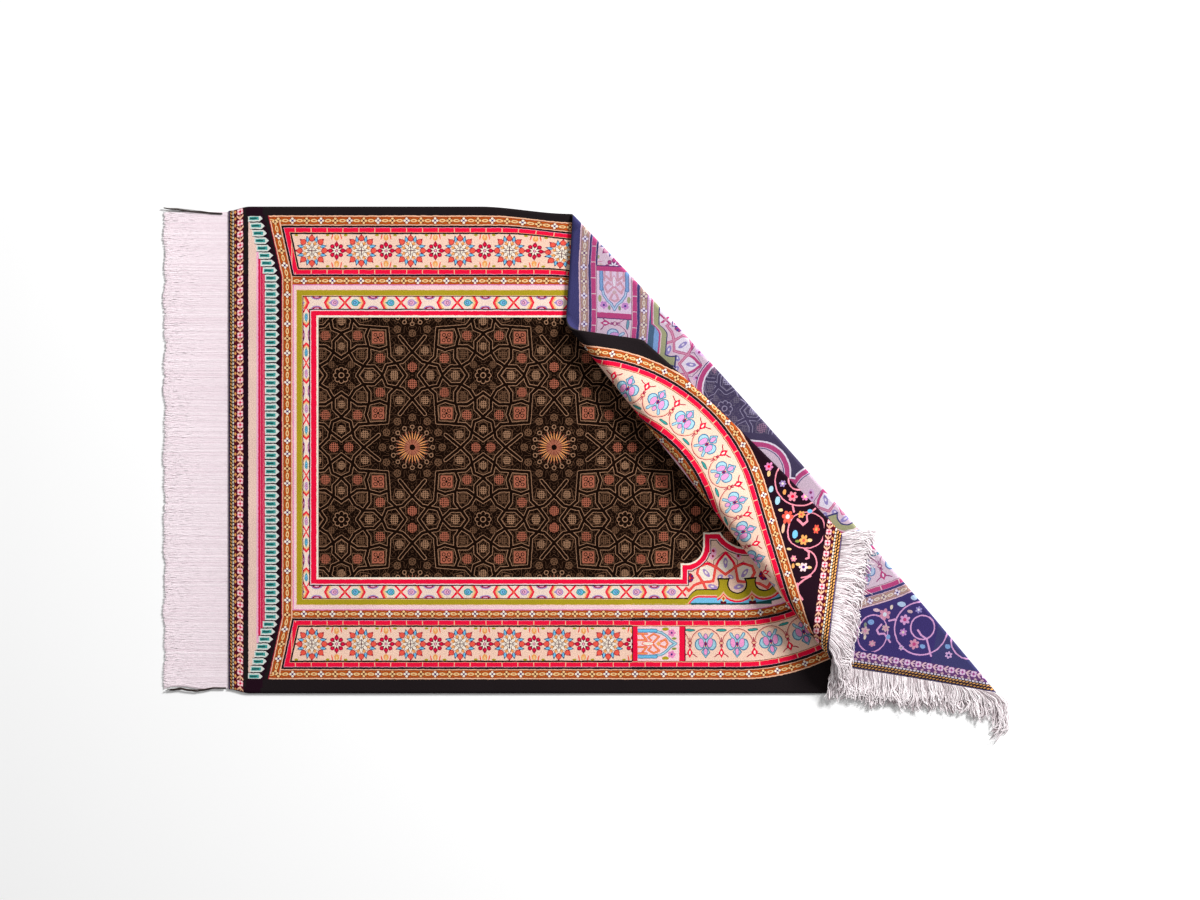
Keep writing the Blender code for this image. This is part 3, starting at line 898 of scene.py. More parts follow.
@dataclass(frozen=True)
class Lotuses:
    """Row of pink lotus flowers with red buds between, on a peach ground."""

    first: float = 134.9
    pitch: float = 45.4
    pace: float = 0.925

    def draw(self, on: Paint, along: Number, across: Number) -> Paint:
        """Draws the row.  across is 0 at its middle and grows outwards."""
        paint = on.fresh(Yarn.PANEL)
        lotus = Spot.at(along.cycle(self.pitch).size(), -across)
        bud = Spot.at(along.cycle(self.pitch, self.pitch / 2).size(), -across)
        self.stems(paint, lotus, bud)
        self.flower(paint, lotus)
        return paint

    def stems(self, paint: Paint, lotus: Spot, bud: Spot) -> None:
        """Thin arcs round each lotus, red buds on forked stems, and teal bars."""
        arc = lotus.moved(0.0, 0.5)
        paint.fill(arc.ring(21.6, 1.1) & (lotus.parts[1] > -5.0), Yarn.WINE)
        paint.fill(arc.ring(20.2, 0.9) & (lotus.parts[1] > 2.0), Yarn.PEACH)
        low = bud.moved(0.0, -12.5)
        arms = low.moved(0.0, -14.0).ring(12.5, 1.5) & (low.parts[1] > -6.5)
        paint.fill(arms | low.moved(0.0, 11.0).box(0.7, 11.0), Yarn.WINE)
        paint.fill(low.diamond(4.4, 7.6) | low.oval(2.8, 5.6), Yarn.CRIMSON)
        paint.fill(low.oval(1.2, 2.9), Yarn.IVORY)
        paint.nest(bud.moved(0.0, 1.3).oval, (3.4, 2.6, Yarn.WINE), (2.4, 1.6, Yarn.PEACH))
        paint.nest(bud.moved(0.0, 20.0).oval, (7.8, 2.2, Yarn.GREEN), (6.4, 1.4, Yarn.TEAL))

    def flower(self, paint: Paint, spot: Spot) -> None:
        """Two large petals between a small one above and a pointed one below."""
        wing = spot.moved(8.6, -0.6)
        tip = spot.moved(0.0, -11.5)
        crest = spot.path(((0.0, 3.0), (5.2, 8.0), (9.2, 14.6)))
        shape = wing.oval(7.1, 8.6) | tip.diamond(6.8, 9.2) | tip.oval(5.0, 6.0)
        paint.fill(shape | (crest < 2.3), Yarn.STEEL)
        inner = wing.oval(5.6, 7.0) | tip.diamond(5.2, 7.4) | tip.oval(3.8, 5.0)
        paint.fill(inner | (crest < 1.3), Yarn.MIST)
        petal = spot.moved(6.3, 1.6).turned(-8)
        bottom = spot.moved(0.0, -11.0)
        crown = spot.moved(0.0, 10.8)
        paint.fill(petal.oval(4.3, 7.3) | bottom.oval(3.3, 5.6) | crown.oval(3.3, 4.2), Yarn.STEEL)
        pink = petal.oval(3.5, 6.4) | bottom.oval(2.3, 4.5) | crown.oval(2.3, 3.2)
        paint.fill(pink, Yarn.LOTUS)
        paint.fill(spot.diamond(2.2, 4.6), Yarn.WINE)
        paint.fill(spot.disc(1.5), Yarn.VIOLET)


@dataclass(frozen=True)
class SmallPanel:
    """Small panel with an arch that lies across the border."""

    end: float = 104.6
    middle: float = 282.6

    def draw(self, on: Paint, x: Number, w: Number) -> Paint:
        """Draws the panel and the crimson bars at its two ends."""
        paint = on.fresh(Yarn.BLUSH)
        spot = Spot.at(x, w - self.middle).folded()
        flower = spot.moved(86.0, 15.5)
        paint.fill(spot.moved(77.0, 21.0).oval(5.0, 2.6), Yarn.OLIVE)
        paint.fill(spot.moved(89.5, 7.5).oval(3.4, 2.0), Yarn.LEAF)
        paint.fill(flower.spun(5, 3.4).disc(2.3), Yarn.ORCHID)
        paint.fill(flower.disc(1.6), Yarn.VIOLET)
        arch = spot.path(((62, 17.5), (71, 16), (79, 10.5), (84, 4.5), (92, 0)))
        bars = spot.path(((37, 18.7), (63, 18.7)))
        scrolls = spot.path(
            ((60, 2), (68, 10), (60, 14), (52, 9), (56, 5)),
            ((36, 5), (50, 5), (44, 12)),
            ((38, 14), (50, 14)),
            ((70, 3), (77, 6), (80, 0)),
        )
        paint.nest(scrolls.within, (1.5, Yarn.CORAL), (0.5, Yarn.AMBER))
        paint.nest(spot.moved(51.5).oval, (9.0, 3.4, Yarn.CORAL), (7.6, 2.3, Yarn.IVORY))
        paint.fill(spot.moved(67.0).diamond(3.6, 3.6), Yarn.AMBER)
        paint.nest(arch.within, (2.1, Yarn.STEEL), (1.1, Yarn.MIST))
        paint.nest(bars.within, (2.9, Yarn.STEEL), (1.7, Yarn.SKY))
        for middle in (33.0, 100.8):
            paint.fill(x.near(middle, 3.9), Yarn.CRIMSON)
        paint.fill(x.near(29.4, 1.0) | x.near(105.2, 0.7), Yarn.MAROON)
        return paint


@dataclass(frozen=True)
class Spandrel:
    """Pink scrolls with flowers on the dark corners outside the arch.

    Places are along the rug and across it from the line that the corners mirror on.
    Flowers are given with their radius, petals and heart, leaves with half widths.
    """

    axis: float = -31.0
    vine: float = 2.0
    vine_end: float = 524.0
    flowers: tuple = (
        ((467.8, 136.4), 8.6, Yarn.CORAL, Yarn.MINT),
        ((470.9, 166.5), 7.6, Yarn.ROSE, Yarn.CRIMSON),
        ((489.4, 167.4), 5.6, Yarn.ORCHID, Yarn.CREAM),
        ((503.8, 186.0), 7.6, Yarn.CORAL, Yarn.CRIMSON),
        ((453.5, 184.0), 5.2, Yarn.LILAC, Yarn.IVORY),
        ((429.4, 207.0), 6.4, Yarn.ORCHID, Yarn.CRIMSON),
        ((487.5, 141.0), 5.6, Yarn.AMBER, Yarn.CORAL),
        ((512.5, 125.6), 5.0, Yarn.CORAL, Yarn.AMBER),
        ((496.0, 112.5), 6.6, Yarn.AMBER, Yarn.CORAL),
        ((501.0, 73.7), 6.8, Yarn.BLUSH, Yarn.VIOLET),
        ((485.0, 85.0), 4.6, Yarn.ROSE, Yarn.CREAM),
        ((511.0, 238.0), 5.4, Yarn.PINK, Yarn.NAVY),
        ((512.0, 168.6), 3.8, Yarn.PINK, Yarn.LEAF),
    )
    leaves: tuple = (
        ((437.5, 174.0), (3.4, 4.8), Yarn.MIST),
        ((449.5, 158.0), (3.6, 6.2), Yarn.MIST),
        ((499.5, 147.0), (3.8, 2.8), Yarn.SKY),
        ((482.0, 118.5), (4.0, 4.4), Yarn.SKY),
        ((505.0, 198.6), (3.2, 4.0), Yarn.SKY),
        ((499.0, 234.6), (3.4, 4.0), Yarn.SKY),
        ((458.0, 172.0), (2.4, 4.0), Yarn.AMBER),
        ((431.0, 196.5), (2.4, 4.4), Yarn.CREAM),
        ((463.5, 123.5), (2.2, 5.0), Yarn.PEACH),
        ((456.0, 144.5), (3.4, 2.2), Yarn.CREAM),
        ((509.5, 74.0), (3.6, 2.0), Yarn.CREAM),
        ((492.6, 77.0), (3.6, 2.0), Yarn.CREAM),
        ((485.5, 74.5), (2.2, 3.4), Yarn.AMBER),
        ((476.5, 98.5), (3.6, 1.8), Yarn.CREAM),
        ((505.0, 113.5), (3.4, 2.0), Yarn.CREAM),
        ((487.0, 111.0), (3.4, 2.0), Yarn.LEAF),
    )
    curls: tuple = (
        ((483.0, 134.0), (492.0, 129.0), (497.5, 133.0), (495.5, 140.5), (506.5, 151.0)),
        ((483.0, 188.0), (489.0, 193.5), (494.0, 203.0), (516.5, 213.0)),
        ((499.0, 101.0), (506.0, 96.0), (507.0, 88.0), (503.0, 86.5)),
        ((513.0, 61.5), (503.8, 55.0), (495.5, 46.5), (499.0, 34.0), (505.6, 26.5)),
        ((495.0, 49.0), (492.6, 44.0)),
        ((476.0, 144.0), (473.0, 152.0)),
        ((447.0, 222.0), (462.0, 243.0), (484.0, 250.0)),
    )

    def draw(self, paint: Paint, x: Number, y: Number) -> None:
        """Draws the scrolls; y is from the sheet's middle."""
        spread = (y - self.axis).size()
        if paint.side is Side.FACE:
            spread = spread - spread.ramp(113.0, 146.0) * 10.0
        spot = Spot.at(x, spread)
        low = spot.moved(499.0, 79.0)
        vines = (
            spot.moved(498.0, 123.4).scaled(1.0, 1.25).ring(27.2, self.vine),
            spot.moved(479.8, 191.8).ring(38.3, self.vine),
            spot.moved(477.9, 193.8).ring(17.3, self.vine),
            low.ring(20.6, self.vine) & (low.parts[0] > 0.0),
            spot.moved(484.0, 265.0).ring(28.0, self.vine),
            spot.path(*self.curls) < 1.35,
        )
        paint.fill(reduce(Number.__or__, vines) & (x < self.vine_end), Yarn.ROSE)
        for place, size, yarn in self.leaves:
            paint.fill(spot.moved(*place).oval(*size), yarn)
        nearest = None
        petals, hearts = paint.fresh(Yarn.PINK), paint.fresh(Yarn.VIOLET)
        for place, size, petal, heart in self.flowers:
            flower = spot.moved(*place).scaled(1 / size, 1 / size)
            inside = flower.disc(1.15)
            nearest = flower if nearest is None else nearest.unless(inside, flower)
            petals.fill(inside, petal)
            hearts.fill(inside, heart)
        paint.lay(nearest.spun(6, 0.62).oval(0.4, 0.3), petals.colour)
        paint.lay(nearest.disc(0.34), hearts.colour)


@dataclass(frozen=True)
class Arch:
    """The head of the field: its stepped outline, cusped band, and the bent borders."""

    top: float = Levels.top
    centre: float = 185.0
    radius: float = 295.0
    slope: float = 65.5
    cusp_pitch: float = 39.5
    cusp_level: float = 196.5
    cusp_first: float = -4.8
    motif_pitch: float = 106.0
    end: float = 551.5

    def draw(self, on: Paint, x: Number, w: Number, flat: Spot) -> Paint:
        """Draws everything from the small panels to the right end.

        Args:
            on: Gives the side of the weave.
            x: Distance along the rug, eased so that both halves meet the fold.
            w: Distance across it from the pattern's axis.
            flat: True place on the rug plane.

        Returns:
            The finished drawing.
        """
        bend = Bend.of(self, x, w)
        paint = on.fresh(Yarn.UMBER)
        self.niche(paint, x, w, bend)
        self.bands(paint, x, w, bend)
        outside = paint.fresh(Yarn.BLACK)
        real_x, real_y = flat.parts
        outside.fill(w.size() < 250.0, Yarn.AUBERGINE)
        Spandrel().draw(outside, real_x, real_y)
        paint.lay(bend.out > self.top, outside.colour)
        EndRows(2).draw(paint, -(real_x - self.end), real_y)
        return paint

    def corner(self, on: Paint, x: Number, w: Number) -> Paint:
        """Draws the part where the field steps in towards the arch."""
        paint = Lattice().draw(on, x, w)
        self.niche(paint, x, w, Bend.of(self, x, w))
        return paint

    def niche(self, paint: Paint, x: Number, w: Number, bend: Bend) -> None:
        """Draws what lies outside the field's stepped outline, up to the inner guard."""
        beyond = self.outline(Spot.at(x, w), x, w)
        motif = self.corner_motif(paint, bend)
        buds = Buds().draw(paint, x + Levels.buds_start, w - Levels.buds)
        paint.nest(beyond.past, (0.0, Yarn.IVORY), (2.4, Yarn.CRIMSON), (9.2, Yarn.BLUSH))
        paint.fill(beyond > 10.4, Yarn.BLACK)
        paint.lay(beyond > 11.7, motif.colour)
        paint.lay((x < 106.5) & (w > 199.4), buds.colour)
        self.cusps(paint, x, w, bend)

    @staticmethod
    def outline(place: Spot, x: Number, w: Number) -> Number:
        """Distance past the field's outline: steps, a bow, and the sides of its head."""
        sides = (
            (x - 99.0).compute("MAXIMUM", w - 187.5),
            (x - 106.0).compute("MAXIMUM", w - 167.0),
            place.moved(106.0, 142.0).away - 25.2,
            (x - 131.3).compute("MAXIMUM", w - 142.0),
            (x - 264.0).compute("MAXIMUM", w - 122.6),
            place.moved(194.0, 101.0).away - 43.6,
            (-place.moved(312.0, 50.0).away + 48.0)
            .compute("MAXIMUM", x - 312.0)
            .compute("MAXIMUM", w - 50.0),
        )
        return Number.lowest(sides)

    def corner_motif(self, paint: Paint, bend: Bend) -> Paint:
        """Straps, cells and buds between the field's outline and the cusped band.

        Its places are from the top of a kite-shaped cell, which has a twin on each side.
        """
        motif = paint.fresh(Yarn.PANEL)
        along = bend.along(175.0, self) + (self.centre - 163.5)
        folded = along.cycle(self.motif_pitch).size()
        spot = Spot.at(folded, bend.out - 165.5)
        far = spot.moved(self.motif_pitch / 2, 22.5)
        motif.fill(far.spun(6, 4.6).disc(2.9), Yarn.WINE)
        motif.fill(far.turned(30).spun(6, 5.6).disc(1.6), Yarn.VIOLET)
        motif.fill(far.disc(2.2), Yarn.CORAL)
        petals = spot.moved(18.0, -12.5).turned(-14)
        motif.fill(petals.oval(4.6, 9.0), Yarn.PINK)
        motif.fill(petals.moved(0.5, -4.0).disc(2.2) | petals.moved(-0.5, 3.5).disc(1.8), Yarn.WINE)
        thin = spot.path(((2.6, -14.6), (17.2, -2.6), (17.0, 3.6), (27.0, -1.8)))
        motif.fill(thin.near(0.0, 0.45), Yarn.MAROON)
        for place, size, turn in (((7.5, 21.0), (4.4, 3.2), 30), ((18.6, 35.2), (7.0, 3.4), -15)):
            patch = spot.moved(*place).turned(turn)
            motif.fill(patch.oval(*size), Yarn.LILAC)
            motif.fill(patch.moved(0.6).oval(size[0] * 0.36, size[1] * 0.36), Yarn.IVORY)
        cells = spot.moved(27.4, 15.4).hexagon(12.6) | spot.moved(0.0, 1.8).diamond(14.0, 17.0)
        motif.fill(cells, Yarn.IVORY)
        for middle, turn in (((0.0, 0.6), 0), ((27.6, 15.4), 40)):
            bud = spot.moved(*middle).turned(turn)
            motif.fill(bud.oval(3.0, 7.4), Yarn.LILAC)
            motif.fill(bud.moved(0.0, -0.6).oval(1.3, 2.6), Yarn.IVORY)
        straps = spot.path(
            ((0.0, -14.0), (10.0, -2.4), (14.4, 6.4), (26.2, 1.6), (38.6, 6.4), (41.0, 16.3)),
            ((41.0, 16.3), (32.8, 28.4), (17.8, 27.4), (14.4, 6.4), (0.0, 17.6)),
            ((28.2, 39.0), (32.8, 28.4), (45.0, 33.0), (57.0, 45.0)),
        )
        motif.fill(straps.near(0.0, 1.9), Yarn.CRIMSON)
        motif.fill(straps.near(0.0, 1.0) & (spot.parts[1] > 3.0), Yarn.CORAL)
        return motif

    def cusps(self, paint: Paint, x: Number, w: Number, bend: Bend) -> None:
        """The olive band, straight beside the field and cusped round the arch."""
        along = bend.along(self.cusp_level, self).cycle(self.cusp_pitch, self.cusp_first)
        scallop = Spot.at(along, bend.out - self.cusp_level).away
        rise = x.ramp(109.0, 125.0)
        straight = (w + (-rise + 2.0) * rise * 12.8 - 217.6) * 1.15 + 13.4
        flat = x < 151.5
        depth = scallop.unless(flat, straight)
        paint.fill((depth > 12.5) & (flat | (bend.out > 188.0)), Yarn.BLACK)
        within = flat | (bend.out > 190.4)
        for start, yarn in (
            (14.4, Yarn.OLIVE),
            (22.3, Yarn.PEACH),
            (24.2, Yarn.CRIMSON),
            (26.8, Yarn.SKY),
        ):
            paint.fill((depth > start) & within, yarn)
        paint.fill((depth > 26.8) & (bend.out > 224.0), Yarn.GREEN)
        between = Spot.at(along.size() - self.cusp_pitch / 2, bend.out - 217.5)
        for shape, yarn in (
            (between.moved(0.0, 6.5).box(4.4, 2.6), Yarn.MAROON),
            (between.diamond(4.2, 5.0), Yarn.CREAM),
            (between.diamond(1.9, 3.0), Yarn.ORANGE),
        ):
            paint.fill(shape & (x > 130.0), yarn)

    def bands(self, paint: Paint, x: Number, w: Number, bend: Bend) -> None:
        """The plain bands, guards, panels and brick rings, bent round the arch."""
        out = bend.out
        paces = [bend.along(level, self) for level in (Levels.inner_guard, Levels.outer_guard)]
        pace = paces[0].unless(out > Levels.between_guards, paces[1])
        guard = Guard().draw(paint, *Levels.on_guard(pace + self.centre, out))
        paint.fill(out > 225.4, Yarn.GREEN)
        paint.fill((out > 225.4) & (x < 114.0), Yarn.OLIVE)
        paint.nest(out.past, (226.8, Yarn.BLUSH), (233.0, Yarn.ORCHID))
        paint.lay(out > 234.4, guard.colour)
        depth = Levels.in_panel(out)
        middle = bend.along(Levels.panel, self, Lotuses.pace) + self.centre
        band = Lotuses().draw(paint, middle - Lotuses.first, out - Levels.panel)
        small = SmallPanel().draw(paint, x, w)
        paint.lay(depth > 0.0, band.colour)
        paint.lay((depth > 0.0) & (x < SmallPanel.end + 1.3), small.colour)
        bricks = Bricks(line=Yarn.RUST, line_half=0.45, stripe=(6.6, 3.2), gap_half=1.9)
        bricks.draw(paint, depth, middle + Levels.bricks_start)


# Mm from the pattern's axis to where the folded half of the arch starts to show.
FOLDED_FROM = {Side.FACE: -58.8, Side.UNDERSIDE: -11.8}
EASED_FROM = -100.0  # mm along the rug to where the underside's borders start to show


class Part(Enum):
    """The parts of the pattern, each dressed by its own material."""

    BORDERS = 0
    FIELD = 1
    CORNER = 2
    ARCH = 3


def drawing(part: Part, side: Side, flat: Spot) -> Paint:
    """Draws one part of the pattern.

    Args:
        part: The part.
        side: Side of the weave.
        flat: Place on the rug plane in millimetres, from the sheet's middle.

    Returns:
        The finished drawing.
    """
    blank = Paint(flat.graph, side, Yarn.BLACK.on(side))
    x, y = flat.parts
    y = y - PATTERN_AXIS
    if part is Part.BORDERS:
        if side is Side.UNDERSIDE:
            x = x + ((y > 0.0) & (x > EASED_FROM)) * EASE
        return Borders().draw(blank, x, y)
    if part is Part.FIELD:
        return Lattice().draw(blank, x + (EASE if side is Side.UNDERSIDE else 0.0), y)
    folded = y > FOLDED_FROM[side]
    x = x + folded * EASE
    w = (folded * 2.0 - 1.0) * y + (x.ramp(30.0, 110.0) & folded) * SQUEEZE
    if part is Part.CORNER:
        return Arch().corner(blank, x, w)
    return Arch().draw(blank, x, w, flat)


# --------------------------------------------------
# The folded sheet
# --------------------------------------------------


@dataclass(frozen=True)
class Fold:
    """A rolled fold: its outline seen from above, and the radius of its roll.

    start, end: the back and front ends of the outline on the floor plan.
    bulge: how far the outline bows towards +X +Y.
    beyond: +1 if the sheet that turns over lies on that side of the outline, else -1.
    radius_start, radius_end: radius of the sheet's middle surface along the fold.
    """

    start: tuple[float, float]
    end: tuple[float, float]
    bulge: float
    beyond: int
    radius_start: float
    radius_end: float
    run_on: float = 0.2

    @property
    def chord(self) -> float:
        """Straight length from start to end."""
        return math.dist(self.start, self.end)

    @property
    def bow_radius(self) -> float:
        """Radius of the outline's slight bow."""
        return (self.chord**2 / 4 + self.bulge**2) / (2 * self.bulge)

    @property
    def centre(self) -> Array:
        """Centre of the bow on the floor plan."""
        first, last = np.array(self.start), np.array(self.end)
        along = (last - first) / self.chord
        left = np.array((-along[1], along[0]))
        return (first + last) / 2 + left * (self.bulge - self.bow_radius)

    def angle(self, points: Array) -> Array:
        """Direction of each point from the centre."""
        away = np.asarray(points) - self.centre
        return np.arctan2(away[..., 1], away[..., 0])

    def along(self, points: Array) -> Array:
        """Share of the way from start to end."""
        first = self.angle(self.start)
        return (self.angle(points) - first) / (self.angle(self.end) - first)

    def radius(self, points: Array) -> Array:
        """Radius of the roll beside each point."""
        share = np.clip(self.along(points), -self.run_on, 1 + self.run_on)
        return self.radius_start + share * (self.radius_end - self.radius_start)

    def past_axis(self, points: Array) -> Array:
        """Distance past the line where the sheet starts to turn over."""
        away = np.linalg.norm(points - self.centre, axis=-1)
        return self.beyond * (away - self.bow_radius) + self.radius(points)

    def at(self, points: Array, past_axis: Array) -> Array:
        """The points beside the given ones that lie this far past the axis."""
        distance = self.bow_radius + self.beyond * (past_axis - self.radius(points))
        angle = self.angle(points)
        ways = np.stack((np.cos(angle), np.sin(angle)), axis=-1)
        return self.centre + distance[..., None] * ways

    def turned(self, points: Array, inset: float = 0.0) -> Array:
        """How much of the half turn is done, under 0 before and over 1 after."""
        return self.past_axis(points) / (math.pi * (self.radius(points) - inset))

    def mirror(self, points: Array, inset: float = 0.0) -> Array:
        """Floor-plan place of points that have been turned over completely."""
        arc = math.pi * (self.radius(points) - inset)
        return self.at(points, arc - self.past_axis(points))

    def bend(self, points: Array, inset: float = 0.0) -> tuple[Array, Array]:
        """Floor-plan place on the roll, and height above the layer it starts from."""
        radius = self.radius(points) - inset
        turn = math.pi * np.clip(self.turned(points, inset), 0.0, 1.0)
        bent = self.at(points, radius * np.sin(turn))
        flat = (self.past_axis(points) <= 0)[..., None]
        return np.where(flat, points, bent), radius * (1 - np.cos(turn))

    def lattice(self, columns: int, levels: Sequence[float], inset: float = 0.0) -> Array:
        """Points in rows along the fold, one row for each share of its half turn.

        Args:
            columns: Number of points in a row.
            levels: Shares of the half turn.
            inset: How much smaller the roll is than its radius.

        Returns:
            Floor-plan points before they are turned over.
        """
        shares = np.linspace(-0.03, 1.03, columns)
        first = self.angle(self.start)
        angles = first + shares * (self.angle(self.end) - first)
        ways = np.stack((np.cos(angles), np.sin(angles)), axis=-1)
        outline = self.centre + self.bow_radius * ways
        arc = math.pi * (self.radius(outline) - inset)
        return np.concatenate([self.at(outline, level * arc) for level in levels])


@dataclass(frozen=True)
class FoldedSheet:
    """The rug's sheet and how it is folded, with the solids' own sizes."""

    length: float = 1.103
    width: float = 0.700
    thickness: float = 0.003
    corner_draw_in: float = 0.006
    corner_draw_length: float = 0.030
    tuck_pitch: float = 0.0037
    tip_settle_length: float = 0.050
    pull_back: float = 0.0144
    pull_front: float = 0.0030
    pull_width: float = 0.085
    back: Fold = Fold((-0.0533, 0.3341), (0.5486, -0.3456), 0.0079, 1, 0.0026, 0.0026)
    roll: Fold = Fold((-0.0567, 0.1717), (0.3103, -0.2935), 0.0006, -1, 0.0105, 0.0175)
    tuck: Fold = Fold((0.0547, 0.1476), (0.3254, -0.1166), 0.0043, 1, 0.0030, 0.0030)

    @property
    def flap_height(self) -> float:
        """Height of the middle surface of the layer that is folded over first."""
        return self.thickness / 2 + 2 * self.back.radius_start

    @property
    def upper_low(self) -> float:
        """Lowest height of the returned layer above the flap."""
        return self.tuck_pitch + 2 * self.tuck.radius_start

    def drag(self, points: Array, sign: float) -> Array:
        """Moves points along the back fold by as much as the cloth is dragged there.

        Args:
            points: Floor-plan points.
            sign: -1 drags them, and 1 takes the drag back.

        Returns:
            The moved points.
        """
        centre = self.back.centre
        away = points - centre
        moved = points
        for _ in range(1 if sign < 0 else 6):
            lower = smooth(self.back.along(moved if sign > 0 else points))
            pull = self.pull_back + (self.pull_front - self.pull_back) * lower
            pull = pull * smooth(1 + self.back.past_axis(moved) / self.pull_width)
            angle = self.back.angle(points) + sign * pull / self.back.bow_radius
            ways = np.stack((np.cos(angle), np.sin(angle)), axis=-1)
            moved = centre + np.linalg.norm(away, axis=-1)[..., None] * ways
        return moved

    def draw_in(self, u: Array) -> Array:
        """Share of its width that the sheet keeps at each place along it."""
        draw = smooth(1 - (u + self.length / 2) / self.corner_draw_length)
        return 1 - draw * self.corner_draw_in / (self.width / 2)

    def flat_place(self, flat: Array) -> Array:
        """Floor-plan place of rug-plane points, before the folds."""
        drawn = np.stack((flat[..., 0], flat[..., 1] * self.draw_in(flat[..., 0])), -1)
        return self.drag(drawn, -1)

    def unplace(self, points: Array) -> Array:
        """Rug-plane points of floor-plan ones, before the folds."""
        drawn = self.drag(points, 1)
        return np.stack((drawn[..., 0], drawn[..., 1] / self.draw_in(drawn[..., 0])), -1)

    def roll_share(self, points: Array) -> Array:
        """1 at the roll's axis, 0 at the tuck fold's."""
        from_roll = np.maximum(-self.roll.past_axis(points), 0.0)
        from_tuck = np.maximum(-self.tuck.past_axis(points), 0.0)
        return from_tuck / np.maximum(from_tuck + from_roll, 1e-6)

    def upper_height(self, points: Array) -> Array:
        """Height of the returned layer, which sinks from the roll to the tuck fold."""
        high = 2 * self.roll.radius(points)
        rise = (high - self.upper_low) * smooth(self.roll_share(points))
        return self.flap_height + self.upper_low + rise

    def tip_height(self, points: Array) -> Array:
        """Height of the tucked corner's tip, which sinks to the middle of the pocket."""
        upper = self.upper_height(points)
        middle = (upper + self.flap_height + self.tuck_pitch) / 2
        sunk = smooth(-self.roll.past_axis(points) / self.tip_settle_length)
        return upper - self.tuck_pitch + (middle - upper + self.tuck_pitch) * sunk

    def settled(self, flat: Array) -> Array:
        """World places of the sheet's middle surface at rug-plane points.

        Args:
            flat: Rug-plane points, one a row.

        Returns:
            World points, one a row.
        """
        inset = self.tuck_pitch
        point = self.flat_place(flat)
        world, over = np.empty((len(flat), 3)), np.full(len(flat), True)
        for fold, smaller, height in (
            (self.back, 0.0, lambda plan, rise: self.thickness / 2 + rise),
            (self.roll, 0.0, lambda plan, rise: self.flap_height + rise),
            (self.tuck, 0.0, lambda plan, rise: self.upper_height(plan) - rise),
            (self.roll, inset, lambda plan, rise: self.flap_height + inset + rise),
        ):
            plan, rise = fold.bend(point, smaller)
            world[over] = np.column_stack((plan, height(plan, rise)))[over]
            over &= fold.turned(point, smaller) >= 1
            point = fold.mirror(point, smaller)
        world[over] = np.column_stack((point, self.tip_height(point)))[over]
        return world

    def fold_lattices(self) -> Array:
        """Rug-plane points in rows along every fold, where the sheet bends."""
        inset = self.tuck_pitch
        back, roll, tuck = self.back, self.roll, self.tuck
        rows = []
        points = back.lattice(300, np.linspace(-0.1, 1.1, 13))
        rows.append(self.unplace(points))
        points = back.mirror(roll.lattice(170, np.linspace(-0.1, 1.1, 19)))
        flat = self.unplace(points)
        rows.append(flat[back.turned(points) > 1.15])
        points = roll.mirror(tuck.lattice(130, np.linspace(-0.1, 1.1, 13)))
        keep = roll.turned(points) > 1.05
        rows.append(self.unplace(back.mirror(points[keep])))
        levels = np.linspace(0.0, 1.1, 15)
        points = tuck.mirror(roll.lattice(120, levels, inset))
        points = points[tuck.turned(points) > 1.15]
        rows.append(self.unplace(back.mirror(roll.mirror(points))))
        return np.concatenate(rows)


